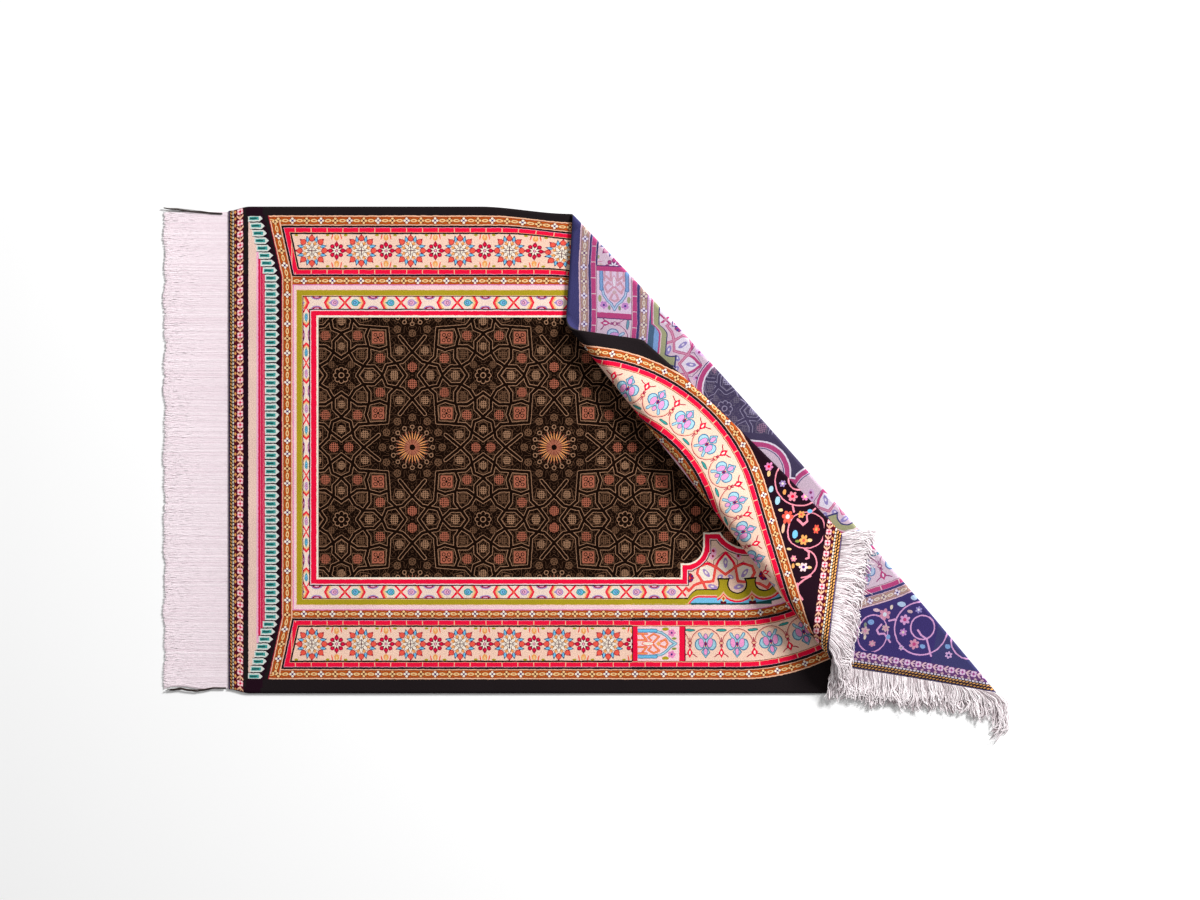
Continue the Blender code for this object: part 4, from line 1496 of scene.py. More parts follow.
@dataclass(frozen=True)
class RugMesh:
    """The fine mesh of the rug: both sides of the sheet and its rounded edge."""

    sheet: FoldedSheet = FoldedSheet()
    cell: float = 0.0085
    cell_gap: float = 0.55  # share of a cell that stays free round finer points
    line_gap: float = 0.0012
    edge_step: float = 0.0040
    edge_bulge: float = 0.0006
    bake_margin: float = 0.006
    field_left: float = -0.4228
    arch_left: float = 0.0288
    arch_left_folded: float = 0.0048
    arch_inner: float = 0.2300
    axis: float = PATTERN_AXIS * MM
    field_half: float = 0.1872
    step_half: float = 0.1220
    cusp_half: float = 0.2255

    def part_at(self, flat: Array) -> Array:
        """Number of the pattern part that each rug-plane point belongs to."""
        u, w = flat[:, 0], np.abs(flat[:, 1] - self.axis)
        arch_left = np.where(flat[:, 1] > self.axis, self.arch_left_folded, self.arch_left)
        part = np.where(u > arch_left, Part.ARCH.value, Part.BORDERS.value)
        inner = (u > arch_left) & (u < self.arch_inner) & (w < self.cusp_half)
        part = np.where(inner, Part.CORNER.value, part)
        open_field = (u > self.field_left) & (u < arch_left) & (w < self.field_half)
        open_field |= (u > self.field_left) & (u < self.arch_inner) & (w < self.step_half)
        return np.where(open_field, Part.FIELD.value, part)

    def outline(self) -> Array:
        """Rug-plane points all round the edge, counter-clockwise."""
        u, v = self.sheet.length / 2, self.sheet.width / 2
        corners = np.array([(-u, -v), (u, -v), (u, v), (-u, v), (-u, -v)])
        return np.concatenate([self.row(*ends) for ends in zip(corners, corners[1:])])

    def rows(self) -> list[Array]:
        """Lines along which the pattern's parts meet, as rows of points."""
        half = self.sheet.width / 2
        left, right = self.field_left, self.arch_inner
        ends = []
        for sign, middle in ((-1, self.arch_left), (1, self.arch_left_folded)):
            wide, step, cusp = (
                self.axis + sign * w for w in (self.field_half, self.step_half, self.cusp_half)
            )
            ends.append(((middle, step), (middle, sign * half)))
            ends.append(((left, wide), (middle, wide)))
            ends.append(((middle, step), (right, step)))
            ends.append(((middle, cusp), (right, cusp)))
            ends.append(((left, self.axis), (left, wide)))
            ends.append(((right, self.axis), (right, cusp)))
        return [self.row(np.array(first), np.array(last)) for first, last in ends]

    def row(self, first: Array, last: Array) -> Array:
        """Evenly spaced points from first up to last, which is left out."""
        count = round(float(np.abs(last - first).sum()) / self.edge_step)
        return first + np.linspace(0, 1, count, endpoint=False)[:, None] * (last - first)

    def triangles(self) -> tuple[Array, Array]:
        """Divides the unfolded sheet, finely where it bends.

        Returns:
            Rug-plane points, and counter-clockwise triangles as rows of point numbers.
        """
        half = np.array((self.sheet.length, self.sheet.width)) / 2
        edge = self.outline()
        lines = [np.concatenate((line, line[-1:] * 2 - line[-2:-1])) for line in self.rows()]
        dense = self.sheet.fold_lattices()
        dense = dense[(np.abs(dense) < half - self.edge_step / 3).all(axis=1)]
        counts = [round(size / self.cell) for size in (self.sheet.length, self.sheet.width)]
        ways = [((np.arange(n) + 0.5) / n * 2 - 1) * h for n, h in zip(counts, half)]
        plain = np.stack(np.meshgrid(*ways), axis=-1).reshape(-1, 2)
        fixed = np.concatenate((edge, *lines))
        dense = self.apart(dense, fixed, self.line_gap)
        plain = self.apart(plain, np.concatenate((fixed, dense)), self.cell_gap * self.cell)
        points = np.concatenate((edge, *lines, dense, plain))
        count = len(edge)
        edges = [(i, (i + 1) % count) for i in range(count)]
        start = count
        for line in lines:
            edges += [(start + i, start + i + 1) for i in range(len(line) - 1)]
            start += len(line)
        made = delaunay_2d_cdt([tuple(p) for p in points], edges, [], 1, 1e-6, False)
        flat, faces = np.array([tuple(v) for v in made[0]]), np.array(made[2])
        one, two, three = (flat[faces[:, i]] for i in range(3))
        (ax, ay), (bx, by) = (two - one).T, (three - one).T
        clockwise = ax * by - ay * bx < 0
        faces[clockwise] = faces[clockwise][:, ::-1]
        return flat, faces

    @staticmethod
    def apart(points: Array, others: Array, gap: float) -> Array:
        """Those of the points that no other point is nearer to than the gap."""

        def cells(spots: Array) -> set[tuple[int, int]]:
            """Squares of the gap's size that hold the spots."""
            return set(map(tuple, np.floor(spots / gap).astype(int)))

        steps = [(i, j) for i in (-0.7, 0, 0.7) for j in (-0.7, 0, 0.7)]
        near = set().union(*(cells(others + np.array(step) * gap) for step in steps))
        keys = map(tuple, np.floor(points / gap).astype(int))
        return points[[key not in near for key in keys]]

    @staticmethod
    def boundary(faces: Array) -> Array:
        """Point numbers along the triangles' open edge, counter-clockwise."""
        sides = np.concatenate((faces[:, (0, 1)], faces[:, (1, 2)], faces[:, (2, 0)]))
        pairs = set(map(tuple, sides.tolist()))
        following = {a: b for a, b in pairs if (b, a) not in pairs}
        loop = [min(following)]
        while following[loop[-1]] != loop[0]:
            loop.append(following[loop[-1]])
        return np.array(loop)

    @staticmethod
    def normals(points: Array, faces: Array) -> Array:
        """Direction in which the pile stands at each point."""
        one, two, three = (points[faces[:, i]] for i in range(3))
        areas = np.cross(two - one, three - one)
        totals = np.zeros_like(points)
        for corner in range(3):
            np.add.at(totals, faces[:, corner], areas)
        return totals / np.linalg.norm(totals, axis=1, keepdims=True)

    def build(self, name: str, materials: Sequence[bpy.types.Material]) -> bpy.types.Object:
        """Builds the closed mesh: the pile side, the underside and the rounded rim.

        Args:
            name: Name of the piece.
            materials: The pile side's material for each pattern part, the underside's
                for each part, and the selvedge's.

        Returns:
            The piece.
        """
        flat, faces = self.triangles()
        loop = self.boundary(faces)
        middle = self.sheet.settled(flat)
        normals = self.normals(middle, faces)
        lift = normals * (self.sheet.thickness / 2)
        ahead = np.roll(middle[loop], -1, axis=0) - np.roll(middle[loop], 1, axis=0)
        outward = np.cross(ahead, normals[loop])
        outward /= np.linalg.norm(outward, axis=1, keepdims=True)
        rim = middle[loop] + outward * self.edge_bulge
        points = np.concatenate((middle + lift, middle - lift, rim))
        count, after = len(flat), np.roll(loop, -1)
        ring = np.arange(len(loop)) + 2 * count
        next_ring = np.roll(ring, -1)
        upper = np.stack((after, loop, ring, next_ring), axis=1)
        lower = np.stack((next_ring, ring, loop + count, after + count), axis=1)
        polygons = [*faces.tolist(), *(faces[:, ::-1] + count).tolist()]
        polygons += [*upper.tolist(), *lower.tolist()]
        mesh = bpy.data.meshes.new(name)
        mesh.from_pydata(points.tolist(), [], polygons)
        part = self.part_at(flat[faces].mean(axis=1))
        parts = len(Part)
        slots = np.concatenate((part, part + parts, np.full(2 * len(loop), 2 * parts)))
        mesh.polygons.foreach_set("material_index", slots.astype(np.int32))
        for material in materials:
            mesh.materials.append(material)
        corners = np.concatenate([np.array(polygon) for polygon in polygons])
        places = np.concatenate((flat, flat, flat[loop]))[corners]
        self.map_onto(mesh, "Rug", places)
        self.map_onto(mesh, "OFBake", self.bake_places(flat, faces, loop))
        mesh.shade_smooth()
        mesh.update()
        piece = bpy.data.objects.new(name, mesh)
        bpy.context.collection.objects.link(piece)
        return piece

    @staticmethod
    def map_onto(mesh: bpy.types.Mesh, name: str, places: Array) -> None:
        """Gives the mesh a UV map with a place for each corner of each face."""
        layer = mesh.uv_layers.new(name=name)
        layer.data.foreach_set("uv", places.astype(np.float32).ravel())

    def bake_places(self, flat: Array, faces: Array, loop: Array) -> Array:
        """A place on one square for every face corner, none on top of another.

        The pile side lies below the underside, and the rim's four sides stand beside
        them as narrow strips.
        """
        length, width, margin = self.sheet.length, self.sheet.width, self.bake_margin
        low = np.array((length, width)) / 2 + margin
        pile = flat[faces].reshape(-1, 2) + low
        under = flat[faces[:, ::-1]].reshape(-1, 2) + low + (0, width + 2 * margin)
        start = flat[loop]
        end = np.roll(start, -1, axis=0)
        middle = (start + end) / 2
        away = np.abs(middle) * 2 / (length, width)
        at_end = away[:, 0] > away[:, 1]
        positive = np.where(at_end, middle[:, 0], middle[:, 1]) > 0
        column = length + margin * (4 + 4 * (at_end * 2 + positive))
        rows = [np.where(at_end, place[:, 1], place[:, 0]) + length / 2 for place in (end, start)]
        strips = []
        strip = 0.75 * self.sheet.thickness
        for near in (0.0, strip):
            far = near + strip
            corners = zip((near, near, far, far), (rows[0], rows[1], rows[1], rows[0]))
            places = [np.stack((column + across, row + margin), axis=1) for across, row in corners]
            strips.append(np.stack(places, axis=1).reshape(-1, 2))
        side = 2 * width + 4 * margin
        return np.concatenate((pile, under, *strips)) / side


# --------------------------------------------------
# The fringes
# --------------------------------------------------


@dataclass(frozen=True)
class Tuft:
    """How the right fringe lies at one place along the rug's end.

    distance: along the end edge from the front corner.
    length: from the edge to the tip.
    root_angle, tip_angle: direction seen from above at its two ends, in degrees.
    tip_height: height of the tip above the floor.
    """

    distance: float
    length: float
    root_angle: float
    tip_angle: float
    tip_height: float


FAR_TUFTS = (
    Tuft(0.016, 0.088, -2, -152, 0.0013),
    Tuft(0.024, 0.072, -10, -130, 0.0013),
    Tuft(0.038, 0.045, -35, -105, 0.0013),
    Tuft(0.065, 0.032, -65, -100, 0.0013),
    Tuft(0.109, 0.036, -80, -95, 0.0013),
    Tuft(0.186, 0.048, -92, -92, 0.0013),
    Tuft(0.229, 0.042, -96, -88, 0.0018),
    Tuft(0.243, 0.046, -90, -88, 0.0040),
    Tuft(0.258, 0.052, -80, -96, 0.0075),
    Tuft(0.271, 0.058, -66, -98, 0.0110),
    Tuft(0.285, 0.064, -50, -100, 0.0135),
    Tuft(0.298, 0.062, -34, -98, 0.0145),
    Tuft(0.314, 0.056, -20, -92, 0.0140),
    Tuft(0.357, 0.044, -8, -60, 0.0105),
    Tuft(0.386, 0.044, -2, -35, 0.0105),
    Tuft(0.415, 0.046, 5, -20, 0.0105),
    Tuft(0.447, 0.044, 16, -20, 0.0105),
)


@dataclass(frozen=True)
class FringeLay:
    """How both fringes lie, with the solids' own sizes."""

    sheet: FoldedSheet = FoldedSheet()
    thickness: float = 0.0016
    gap: float = 0.0003
    folded_gap: float = 0.0011
    clearance: float = 0.0006
    bend_parts: int = 8
    near_length: float = 0.093
    tip_wave: float = 0.0020
    tip_wave_lengths: tuple[float, float] = (0.153, 0.065)
    sway: float = 0.0012
    sway_length: float = 0.190
    corner_sway: float = 0.0040
    corner_sway_span: float = 0.020
    tucked_length: float = 0.036
    overhang: float = 0.00275
    fall_length: float = 0.0110
    tail_width: float = 0.0017
    tail_lift: float = 0.0008
    tails: tuple = (
        ((-0.556, -0.3430), (-0.574, -0.3430), (-0.597, -0.3475), (-0.620, -0.3440), (-0.643, -0.3465)),
        ((-0.561, 0.3402), (-0.578, 0.3412), (-0.601, 0.3435), (-0.622, 0.3455), (-0.645, 0.3485)),
    )

    def near(self, distance: Array, share: Array) -> Array:
        """World places on the left fringe.

        Args:
            distance: Along the end edge from the front corner.
            share: Share of the way from the edge to the tip.

        Returns:
            Rows of world points.
        """
        end = self.sheet.length / 2
        root = np.stack((np.full_like(distance, -end), distance - self.sheet.width / 2), -1)
        root_y = self.sheet.flat_place(root)[:, 1]
        waves = [np.sin(2 * np.pi * distance / length) for length in self.tip_wave_lengths]
        uneven = self.tip_wave * waves[0] * waves[1]
        corner = smooth(1 - distance / self.corner_sway_span)
        sway = self.sway * np.sin(2 * np.pi * distance / self.sway_length)
        sway = sway - self.corner_sway * corner * np.sin(2 * np.pi * share)
        x = -end - self.gap - (self.near_length + uneven) * share
        return np.column_stack((x, root_y + sway * share, np.full_like(x, self.thickness / 2)))

    def over_flat_layer(self, plan: Array) -> Array:
        """1 where a tuft lies over the rug's flat layer, falling to 0 past its edge."""
        low, end = -self.sheet.width / 2, self.sheet.length / 2
        past_edge = np.maximum(low - plan[:, 1], plan[:, 0] - end)
        return smooth(1 - (past_edge - self.overhang) / self.fall_length)

    def far(self, distance: Array, share: Array) -> Array:
        """World places on the right fringe where it shows, as near() gives them."""
        rows = np.array([(t.distance, t.length, t.root_angle, t.tip_angle, t.tip_height)
                         for t in FAR_TUFTS])
        length, root_angle, tip_angle, tip_height = (
            np.interp(distance, rows[:, 0], rows[:, column]) for column in range(1, 5)
        )
        end = self.sheet.length / 2 + self.folded_gap
        root = np.stack((np.full_like(distance, end), distance - self.sheet.width / 2), -1)
        world = self.sheet.settled(root)
        plan, start = world[:, :2], world[:, 2]
        for step in range(self.bend_parts):
            turn = share * (step + 0.5) / self.bend_parts
            angle = np.radians(root_angle + (tip_angle - root_angle) * turn)
            way = np.stack((np.cos(angle), np.sin(angle)), -1)
            plan = plan + way * (length * share / self.bend_parts)[:, None]
        thick = self.sheet.thickness
        fallen = start + (tip_height - start) * smooth(share)
        carried = self.over_flat_layer(plan) * smooth((start - thick) / thick)
        lowest = self.thickness / 2 + (thick + self.clearance) * carried
        return np.column_stack((plan, np.maximum(fallen, lowest)))

    def tail(self, distance: Array, share: Array) -> Array:
        """World places on the selvedges' loose ends: the front one below 1, the back one above."""
        places = np.empty((len(share), 3))
        for number, points in enumerate(self.tails):
            mine = (distance >= number) & (distance < number + 1)
            xs, ys = np.array(points).T
            way = np.linspace(0, 1, len(xs))
            apart = (distance[mine] - number - 0.5) * self.tail_width * (1 + share[mine])
            places[mine, 0] = np.interp(share[mine], way, xs)
            places[mine, 1] = np.interp(share[mine], way, ys) + apart
            places[mine, 2] = self.thickness + self.tail_lift
        return places

    def tucked(self, distance: Array, share: Array) -> Array:
        """World places on the right fringe's stretch in the turned-under corner."""
        end = self.sheet.length / 2 + self.folded_gap
        flat = np.stack((end + self.tucked_length * share, distance - self.sheet.width / 2), -1)
        return self.sheet.settled(flat)


@dataclass(frozen=True)
class Fringe:
    """One comb of yarn strands along an end of the rug.

    spread: gives world places from distances along the edge and shares of the length.
    span: where the comb starts and stops along the edge.
    strands, points: number of strands, and of points along each.
    stray: how far the tips stray from the comb's even lay.
    lift: how far a strand rises off the comb's middle.
    length_spread: how much shorter than the comb the shortest strand is, as a share.
    crimp: how far a strand waves to each side, once in each crimp_length.
    """

    name: str
    spread: Callable[[Array, Array], Array]
    span: tuple[float, float]
    strands: int
    points: int
    stray: float
    lift: float
    seed: int
    yarn_radius: float = 0.00052
    sides: int = 5
    length_spread: float = 0.05
    crimp: float = 0.0
    crimp_length: float = 0.024

    def guides(self) -> bpy.types.Mesh:
        """Even strands as chains of edges, with each point's share and strand tint."""
        rng = np.random.default_rng(self.seed)
        first, last = self.span
        even = (np.arange(self.strands) + 0.5) / self.strands
        jitter = (rng.random(self.strands) - 0.5) * 0.8 / self.strands
        distance = first + (even + jitter) * (last - first)
        reach = 1 - self.length_spread * rng.random(self.strands) ** 2
        share = np.linspace(0, 1, self.points)
        shares = (reach[:, None] * share).ravel()
        places = self.spread(np.repeat(distance, self.points), shares)
        phase = np.repeat(rng.random(self.strands), self.points) * 2 * np.pi
        turns = 2 * np.pi * places[:, 0] / self.crimp_length
        places[:, 1] += self.crimp * np.sin(turns + phase) * shares
        numbers = np.arange(self.strands * self.points).reshape(self.strands, self.points)
        edges = np.stack((numbers[:, :-1], numbers[:, 1:]), -1).reshape(-1, 2)
        mesh = bpy.data.meshes.new(f"{self.name}_guides")
        mesh.from_pydata(places.tolist(), edges.tolist(), [])
        for label, values in (
            ("share", shares),
            ("tint", np.repeat(rng.random(self.strands), self.points)),
            ("level", np.repeat(rng.random(self.strands), self.points)),
        ):
            layer = mesh.attributes.new(label, "FLOAT", "POINT")
            layer.data.foreach_set("value", values.astype(np.float32))
        return mesh

    def build(self, yarns: YarnTree, material: bpy.types.Material) -> bpy.types.Object:
        """Builds the comb as a plain mesh.

        Args:
            yarns: The node tree that turns guides to strands.
            material: What the strands are made of.

        Returns:
            The piece.
        """
        guides = bpy.data.objects.new(self.name, self.guides())
        bpy.context.collection.objects.link(guides)
        modifier = guides.modifiers.new("Strands", "NODES")
        modifier.node_group = yarns.tree
        for name, setting in (
            ("Yarn radius", self.yarn_radius),
            ("Sides", self.sides),
            ("Stray", self.stray),
            ("Lift", self.lift),
            ("Seed", float(self.seed)),
            ("Material", material),
        ):
            modifier[yarns.inputs[name]] = setting
        evaluated = guides.evaluated_get(bpy.context.evaluated_depsgraph_get())
        mesh = bpy.data.meshes.new_from_object(evaluated)
        mesh.name = self.name
        guides.modifiers.remove(modifier)
        guides.data = mesh
        mesh.shade_smooth()
        return guides


class YarnTree:
    """Geometry nodes that make round strands of yarn along chains of edges."""

    def __init__(self) -> None:
        """Builds the tree and notes the identifier of each of its inputs."""
        tree = bpy.data.node_groups.new("Yarn strands", "GeometryNodeTree")
        self.tree, self.inputs = tree, {}
        face = tree.interface
        face.new_socket("Geometry", in_out="INPUT", socket_type="NodeSocketGeometry")
        for name, kind in (
            ("Yarn radius", "Float"),
            ("Sides", "Int"),
            ("Stray", "Float"),
            ("Lift", "Float"),
            ("Seed", "Float"),
            ("Material", "Material"),
        ):
            socket = face.new_socket(name, in_out="INPUT", socket_type=f"NodeSocket{kind}")
            self.inputs[name] = socket.identifier
        face.new_socket("Geometry", in_out="OUTPUT", socket_type="NodeSocketGeometry")
        self.link_up(Graph(tree))

    @staticmethod
    def link_up(graph: Graph) -> None:
        """Adds the nodes: stray, curve, round profile, realized mesh and material."""
        given = graph.add("NodeGroupInput")

        def value(name: str) -> Number:
            """One of the tree's inputs."""
            return Number(graph, given.outputs[name])

        def attribute(name: str) -> Number:
            """A number stored on the guides."""
            node = graph.add("GeometryNodeInputNamedAttribute", name, data_type="FLOAT")
            return Number(graph, node.outputs[0])

        share, level, tint = attribute("share"), attribute("level"), attribute("tint")
        seed = value("Seed")
        place = Spot(graph, graph.add("GeometryNodeInputPosition").outputs[0])
        # Strands that lie close together stray together, and single ones a little more.
        clump, single = (
            graph.add(
                "ShaderNodeTexNoise",
                place,
                noise_dimensions="4D",
                sockets={"W": start, "Scale": scale, "Detail": 1.0},
            )
            for start, scale in ((seed, 55.0), (seed + tint * 9.0, 36.0))
        )
        both = Spot(graph, clump.outputs[1]).compute("ADD", Flow(graph, single.outputs[1]))
        x, y = both.compute("SUBTRACT", (1.0, 1.0, 1.0)).parts
        freedom = share.compute("POWER", 1.15) * value("Stray")
        rise = (level + share * tint * 2.0) * value("Lift")
        offset = graph.add("ShaderNodeCombineXYZ", x * freedom, y * freedom, rise)
        moved = graph.add("GeometryNodeSetPosition", value("Geometry"), sockets={"Offset": offset})
        curve = graph.add("GeometryNodeMeshToCurve", moved)
        size = {"Radius": value("Yarn radius")}
        profile = graph.add("GeometryNodeCurvePrimitiveCircle", value("Sides"), sockets=size)
        strands = graph.add("GeometryNodeCurveToMesh", curve, profile, sockets={"Fill Caps": True})
        real = graph.add("GeometryNodeRealizeInstances", strands)
        dressed = graph.add("GeometryNodeSetMaterial", real, sockets={"Material": value("Material")})
        graph.add("NodeGroupOutput", dressed)


# --------------------------------------------------
# Finishes
# --------------------------------------------------


class Finish:
    """A material whose nodes end in one Principled shader."""

    def __init__(self, name: str) -> None:
        """Makes an empty material."""
        self.material = bpy.data.materials.new(name)
        self.material.use_nodes = True
        self.material.node_tree.nodes.clear()
        self.graph = Graph(self.material.node_tree)

    def shade(self, colour: Colour | Flow, bump: Flow | None, **sockets: float) -> None:
        """Adds the shader and the output.

        Args:
            colour: Base colour.
            bump: Normal from a Bump node, if any.
            sockets: Values of the shader's other sockets, with _ for a space.
        """
        named = {name.replace("_", " "): setting for name, setting in sockets.items()}
        if bump is not None:
            named["Normal"] = bump
        shader = self.graph.add("ShaderNodeBsdfPrincipled", colour, sockets=named)
        self.graph.add("ShaderNodeOutputMaterial", shader)

    def noise(self, place: Flow, scale: float, detail: float = 1.0) -> Number:
        """Noise over a place, with so many waves in each of its units."""
        sockets = {"Scale": scale, "Detail": detail}
        node = self.graph.add("ShaderNodeTexNoise", place, sockets=sockets)
        return Number(self.graph, node.outputs[0])

    def bump(self, height: Flow, distance: float) -> Flow:
        """Normal of a surface with this height, of so many metres."""
        sockets = {"Strength": 1.0, "Distance": distance, "Height": height}
        node = self.graph.add("ShaderNodeBump", sockets=sockets)
        return Flow(self.graph, node.outputs[0])

    def weave(self) -> Spot:
        """Place on the rug plane in millimetres."""
        uv = self.graph.add("ShaderNodeUVMap", uv_map="Rug")
        return Spot(self.graph, uv.outputs[0]).scaled(1 / MM, 1 / MM)

    def varied(self, colour: Colour | Flow, change: Number, low: float, high: float) -> Flow:
        """The colour made darker and lighter between two shares by a change of 0 to 1."""
        node = self.graph.add(
            "ShaderNodeVectorMath",
            colour if isinstance(colour, Flow) else colour[:3],
            operation="SCALE",
            sockets={"Scale": change * (high - low) + low},
        )
        return Flow(self.graph, node.outputs[0])


@dataclass(frozen=True)
class WovenSide:
    """One side of a machine-woven rug with a short polyester pile.

    The pile side is matt and soft: every yarn end shows as a fine grain, and soft
    patches of painted sheen, lighter and darker, stand for pile that leans and catches
    the light.  The underside is flat and ribbed.
    """

    side: Side
    rib: float = 0.12  # share of the relief that is its ribs
    relief: float = 0.00030  # metres from the deepest to the highest yarn end
    knot: float = 1.3  # mm between yarn rows
    shades: tuple[float, float] = (0.42, 1.30)  # darkest and lightest yarn end
    stray: float = 0.7  # mm that a drawn edge strays from a true line
    stray_waves: float = 0.22  # of them in a millimetre
    sheen_patch_size: float = 60.0  # mm across a patch of painted sheen, where the pile would lean
    sheen_mottle: float = 0.12  # share by which the painted sheen patches lighten and darken the colour
    field_sheen_mottle: float = 0.30

    def material(self, part: Part) -> bpy.types.Material:
        """Makes the material of one part of the pattern."""
        finish = Finish(f"{self.side.name.lower()}_{part.name.lower()}")
        graph = finish.graph
        flat = finish.weave()
        sheen_patches = finish.noise(flat, 1 / self.sheen_patch_size, 2.0)
        grain = finish.noise(flat, 1 / self.knot)
        rows = (flat.parts[0] * (2 * math.pi / self.knot)).compute("SINE")
        normal = finish.bump(grain * 1.6 + rows * self.rib, self.relief)
        waves = {"Scale": self.stray_waves, "Detail": 1.0}
        wobble = graph.add("ShaderNodeTexNoise", flat, sockets=waves)
        centred = Spot(graph, wobble.outputs[1]).compute("SUBTRACT", (0.5, 0.5, 0.0))
        place = centred.scaled(self.stray * 2, self.stray * 2).compute("ADD", flat)
        paint = drawing(part, self.side, place)
        colour = finish.varied(paint.colour, grain, *self.shades)
        # Painted sheen: soft lighter and darker patches where leaning pile would catch the light,
        # stronger on the field.
        sheen_mottle = self.field_sheen_mottle if part is Part.FIELD else self.sheen_mottle
        colour = finish.varied(colour, sheen_patches, 1 - sheen_mottle, 1 + sheen_mottle)
        sheen = {"Sheen_Weight": 0.01, "Sheen_Roughness": 0.5}
        finish.shade(colour, normal, Roughness=0.9, Specular_IOR_Level=0.03, **sheen)
        return finish.material


@dataclass(frozen=True)
class Selvedge:
    """Edge of the weave, overcast with black yarn, so it is matt and finely ribbed."""

    stitch: float = 1.6  # mm between turns of the yarn

    def material(self) -> bpy.types.Material:
        """Makes the material."""
        finish = Finish("overcast_selvedge")
        flat = finish.weave()
        x, y = flat.parts
        turns = ((x + y) * (2 * math.pi / self.stitch)).compute("SINE")
        colour = finish.varied(Yarn.BLACK.on(Side.FACE), finish.noise(flat, 0.6), 0.8, 1.5)
        finish.shade(colour, finish.bump(turns, 0.0002), Roughness=0.8)
        return finish.material


@dataclass(frozen=True)
class LooseYarn:
    """Twisted viscose yarn, soft and slightly glossy, each strand a shade of its own, with painted
    shade towards the roots and, on the rumpled fringe, in the darkest strands.
    """

    name: str
    dark: str
    light: str
    twist: float = 1.1  # mm between turns of the ply

    def material(self) -> bpy.types.Material:
        """Makes the material."""
        finish = Finish(self.name)
        graph = finish.graph
        tint, share = (
            Number(graph, graph.add("ShaderNodeAttribute", attribute_name=name).outputs[2])
            for name in ("tint", "share")
        )
        mixed = Paint(graph, Side.FACE, linear(self.dark))
        mixed.lay(tint, linear(self.light))
        place = Flow(graph, graph.add("ShaderNodeTexCoord").outputs["Object"])
        fibres = finish.noise(place, 1 / (self.twist * MM), 2.0)
        colour = finish.varied(mixed.colour, fibres, 0.88, 1.12)
        # Painted shade: each strand is drawn darker towards its root, where the strands crowd together.
        colour = finish.varied(colour, share, 0.93, 1.02)
        sheen = {"Sheen_Weight": 0.15, "Sheen_Roughness": 0.4}
        finish.shade(colour, finish.bump(fibres, 0.0002), Roughness=0.6, **sheen)
        return finish.material


# --------------------------------------------------
# The studio and the whole rug
# --------------------------------------------------


@dataclass(frozen=True)
class Studio:
    """Pale floor, soft even light, and a camera straight above the rug."""

    view_middle: tuple[float, float] = (-0.01728, 0.0)
    view_width: float = 1.728
    camera_height: float = 2.5
    floor_size: float = 12.0
    floor_colour: str = "fcfcfc"
    sky: float = 0.40
    key_power: float = 350.0
    key_place: tuple[float, float, float] = (3.0, 2.6, 2.4)
    key_size: float = 1.1

    def build(self) -> None:
        """Builds the floor, the lights and the camera."""
        scene = bpy.context.scene
        scene.view_settings.view_transform = "Standard"
        self.floor()
        world = bpy.data.worlds.new("studio_sky")
        scene.world = world
        world.use_nodes = True
        background = world.node_tree.nodes["Background"]
        background.inputs["Color"].default_value = linear("ffffff")
        background.inputs["Strength"].default_value = self.sky
        lamp = bpy.data.lights.new("key_softbox", "AREA")
        lamp.energy, lamp.size = self.key_power, self.key_size
        key = bpy.data.objects.new("key_softbox", lamp)
        key.location = self.key_place
        aim = -Vector(self.key_place)
        key.rotation_euler = aim.to_track_quat("-Z", "Y").to_euler()
        camera = bpy.data.cameras.new("camera")
        camera.type, camera.ortho_scale = "ORTHO", self.view_width
        holder = bpy.data.objects.new("camera", camera)
        holder.location = (*self.view_middle, self.camera_height)
        for made in (key, holder):
            bpy.context.collection.objects.link(made)
        scene.camera = holder

    def floor(self) -> None:
        """Lays a wide sheet of matt white board under the rug."""
        half = self.floor_size / 2
        mesh = bpy.data.meshes.new("studio_floor")
        corners = [(-half, -half, 0), (half, -half, 0), (half, half, 0), (-half, half, 0)]
        mesh.from_pydata(corners, [], [(0, 1, 2, 3)])
        board = Finish("matt_white_board")
        board.shade(linear(self.floor_colour), None, Roughness=0.9)
        mesh.materials.append(board.material)
        floor = bpy.data.objects.new("studio_floor", mesh)
        bpy.context.collection.objects.link(floor)


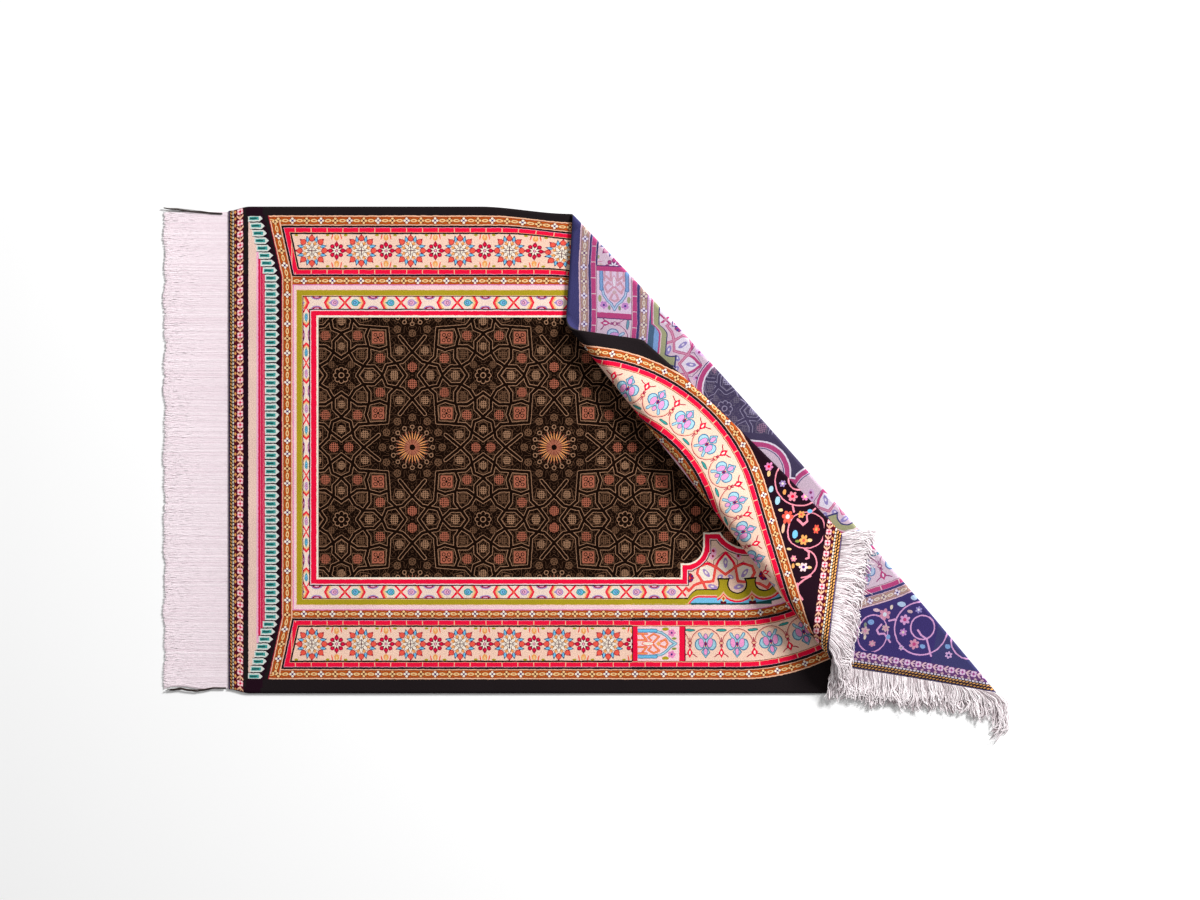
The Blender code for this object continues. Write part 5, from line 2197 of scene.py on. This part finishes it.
@dataclass(frozen=True)
class PrayerRug:
    """The whole rug: its woven sheet and the fringes on its two ends."""

    lay: FringeLay = FringeLay()

    def build(self) -> None:
        """Builds every piece and sets it on the body in place of its solid."""
        sides = WovenSide(Side.FACE), WovenSide(Side.UNDERSIDE, rib=0.35, relief=0.00022)
        dressing = [side.material(part) for side in sides for part in Part]
        dressing.append(Selvedge().material())
        rug = RugMesh().build("rug_sheet", dressing)
        self.register(rug, "rug_body", "woven_pile")
        yarns = YarnTree()
        white = LooseYarn("viscose_fringe", "ecd9e1", "f9edf2").material()
        # Rumpled right fringe: each strand takes a random shade between pale and dark yarn, and the
        # darkest strands are painted shade between the clumps.
        shaded_cream = LooseYarn("viscose_fringe_with_painted_shade", "a48e94", "fff8fa").material()
        brown = LooseYarn("selvedge_yarn", "0c0606", "3c2620").material()
        lay = self.lay
        ragged = {"stray": 0.042, "lift": 0.0024, "sides": 4, "length_spread": 0.34}
        combs = (
            (Fringe("left_fringe", lay.near, (0.0010, 0.6990), strands=1700, points=13, seed=3,
                    stray=0.0026, lift=0.0004, sides=4, crimp=0.0008), "fringe_left", white),
            (Fringe("right_fringe_front", lay.far, (0.0160, 0.2560), strands=1100, points=13,
                    seed=5, **ragged), "fringe_right_lower", shaded_cream),
            (Fringe("right_fringe_back", lay.far, (0.2760, 0.4520), strands=800, points=13,
                    seed=7, **ragged), "fringe_right_upper", shaded_cream),
            (Fringe("tucked_fringe", lay.tucked, (0.4580, 0.6990), strands=240, points=6, seed=9,
                    stray=0.002, lift=0.0), "fringe_tucked", shaded_cream),
            (Fringe("selvedge_tails", lay.tail, (0.0, 2.0), strands=14, points=24, seed=4,
                    stray=0.0080, lift=0.0004, yarn_radius=0.00045), "fringe_left", brown),
        )
        pieces = []
        for comb, node, yarn in combs:
            pieces.append(comb.build(yarns, yarn))
            self.register(pieces[-1], node, "fringe_yarn")

    @staticmethod
    def register(piece: bpy.types.Object, node: str, slot: str) -> None:
        """Makes a piece ride on the body in place of a solid, and reports it."""
        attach(piece, "root")
        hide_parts(node)
        mesh = piece.data
        mesh.calc_loop_triangles()
        LOG.info("%s: %d points, %d triangles", piece.name, len(mesh.vertices),
                 len(mesh.loop_triangles))


def main() -> None:
    """Builds the studio and the rug; each piece's size is logged as it is built."""
    logging.basicConfig(level=logging.INFO, format="%(message)s")
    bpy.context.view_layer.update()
    Studio().build()
    PrayerRug().build()
    bpy.context.view_layer.update()


if __name__ == "__main__":
    main()
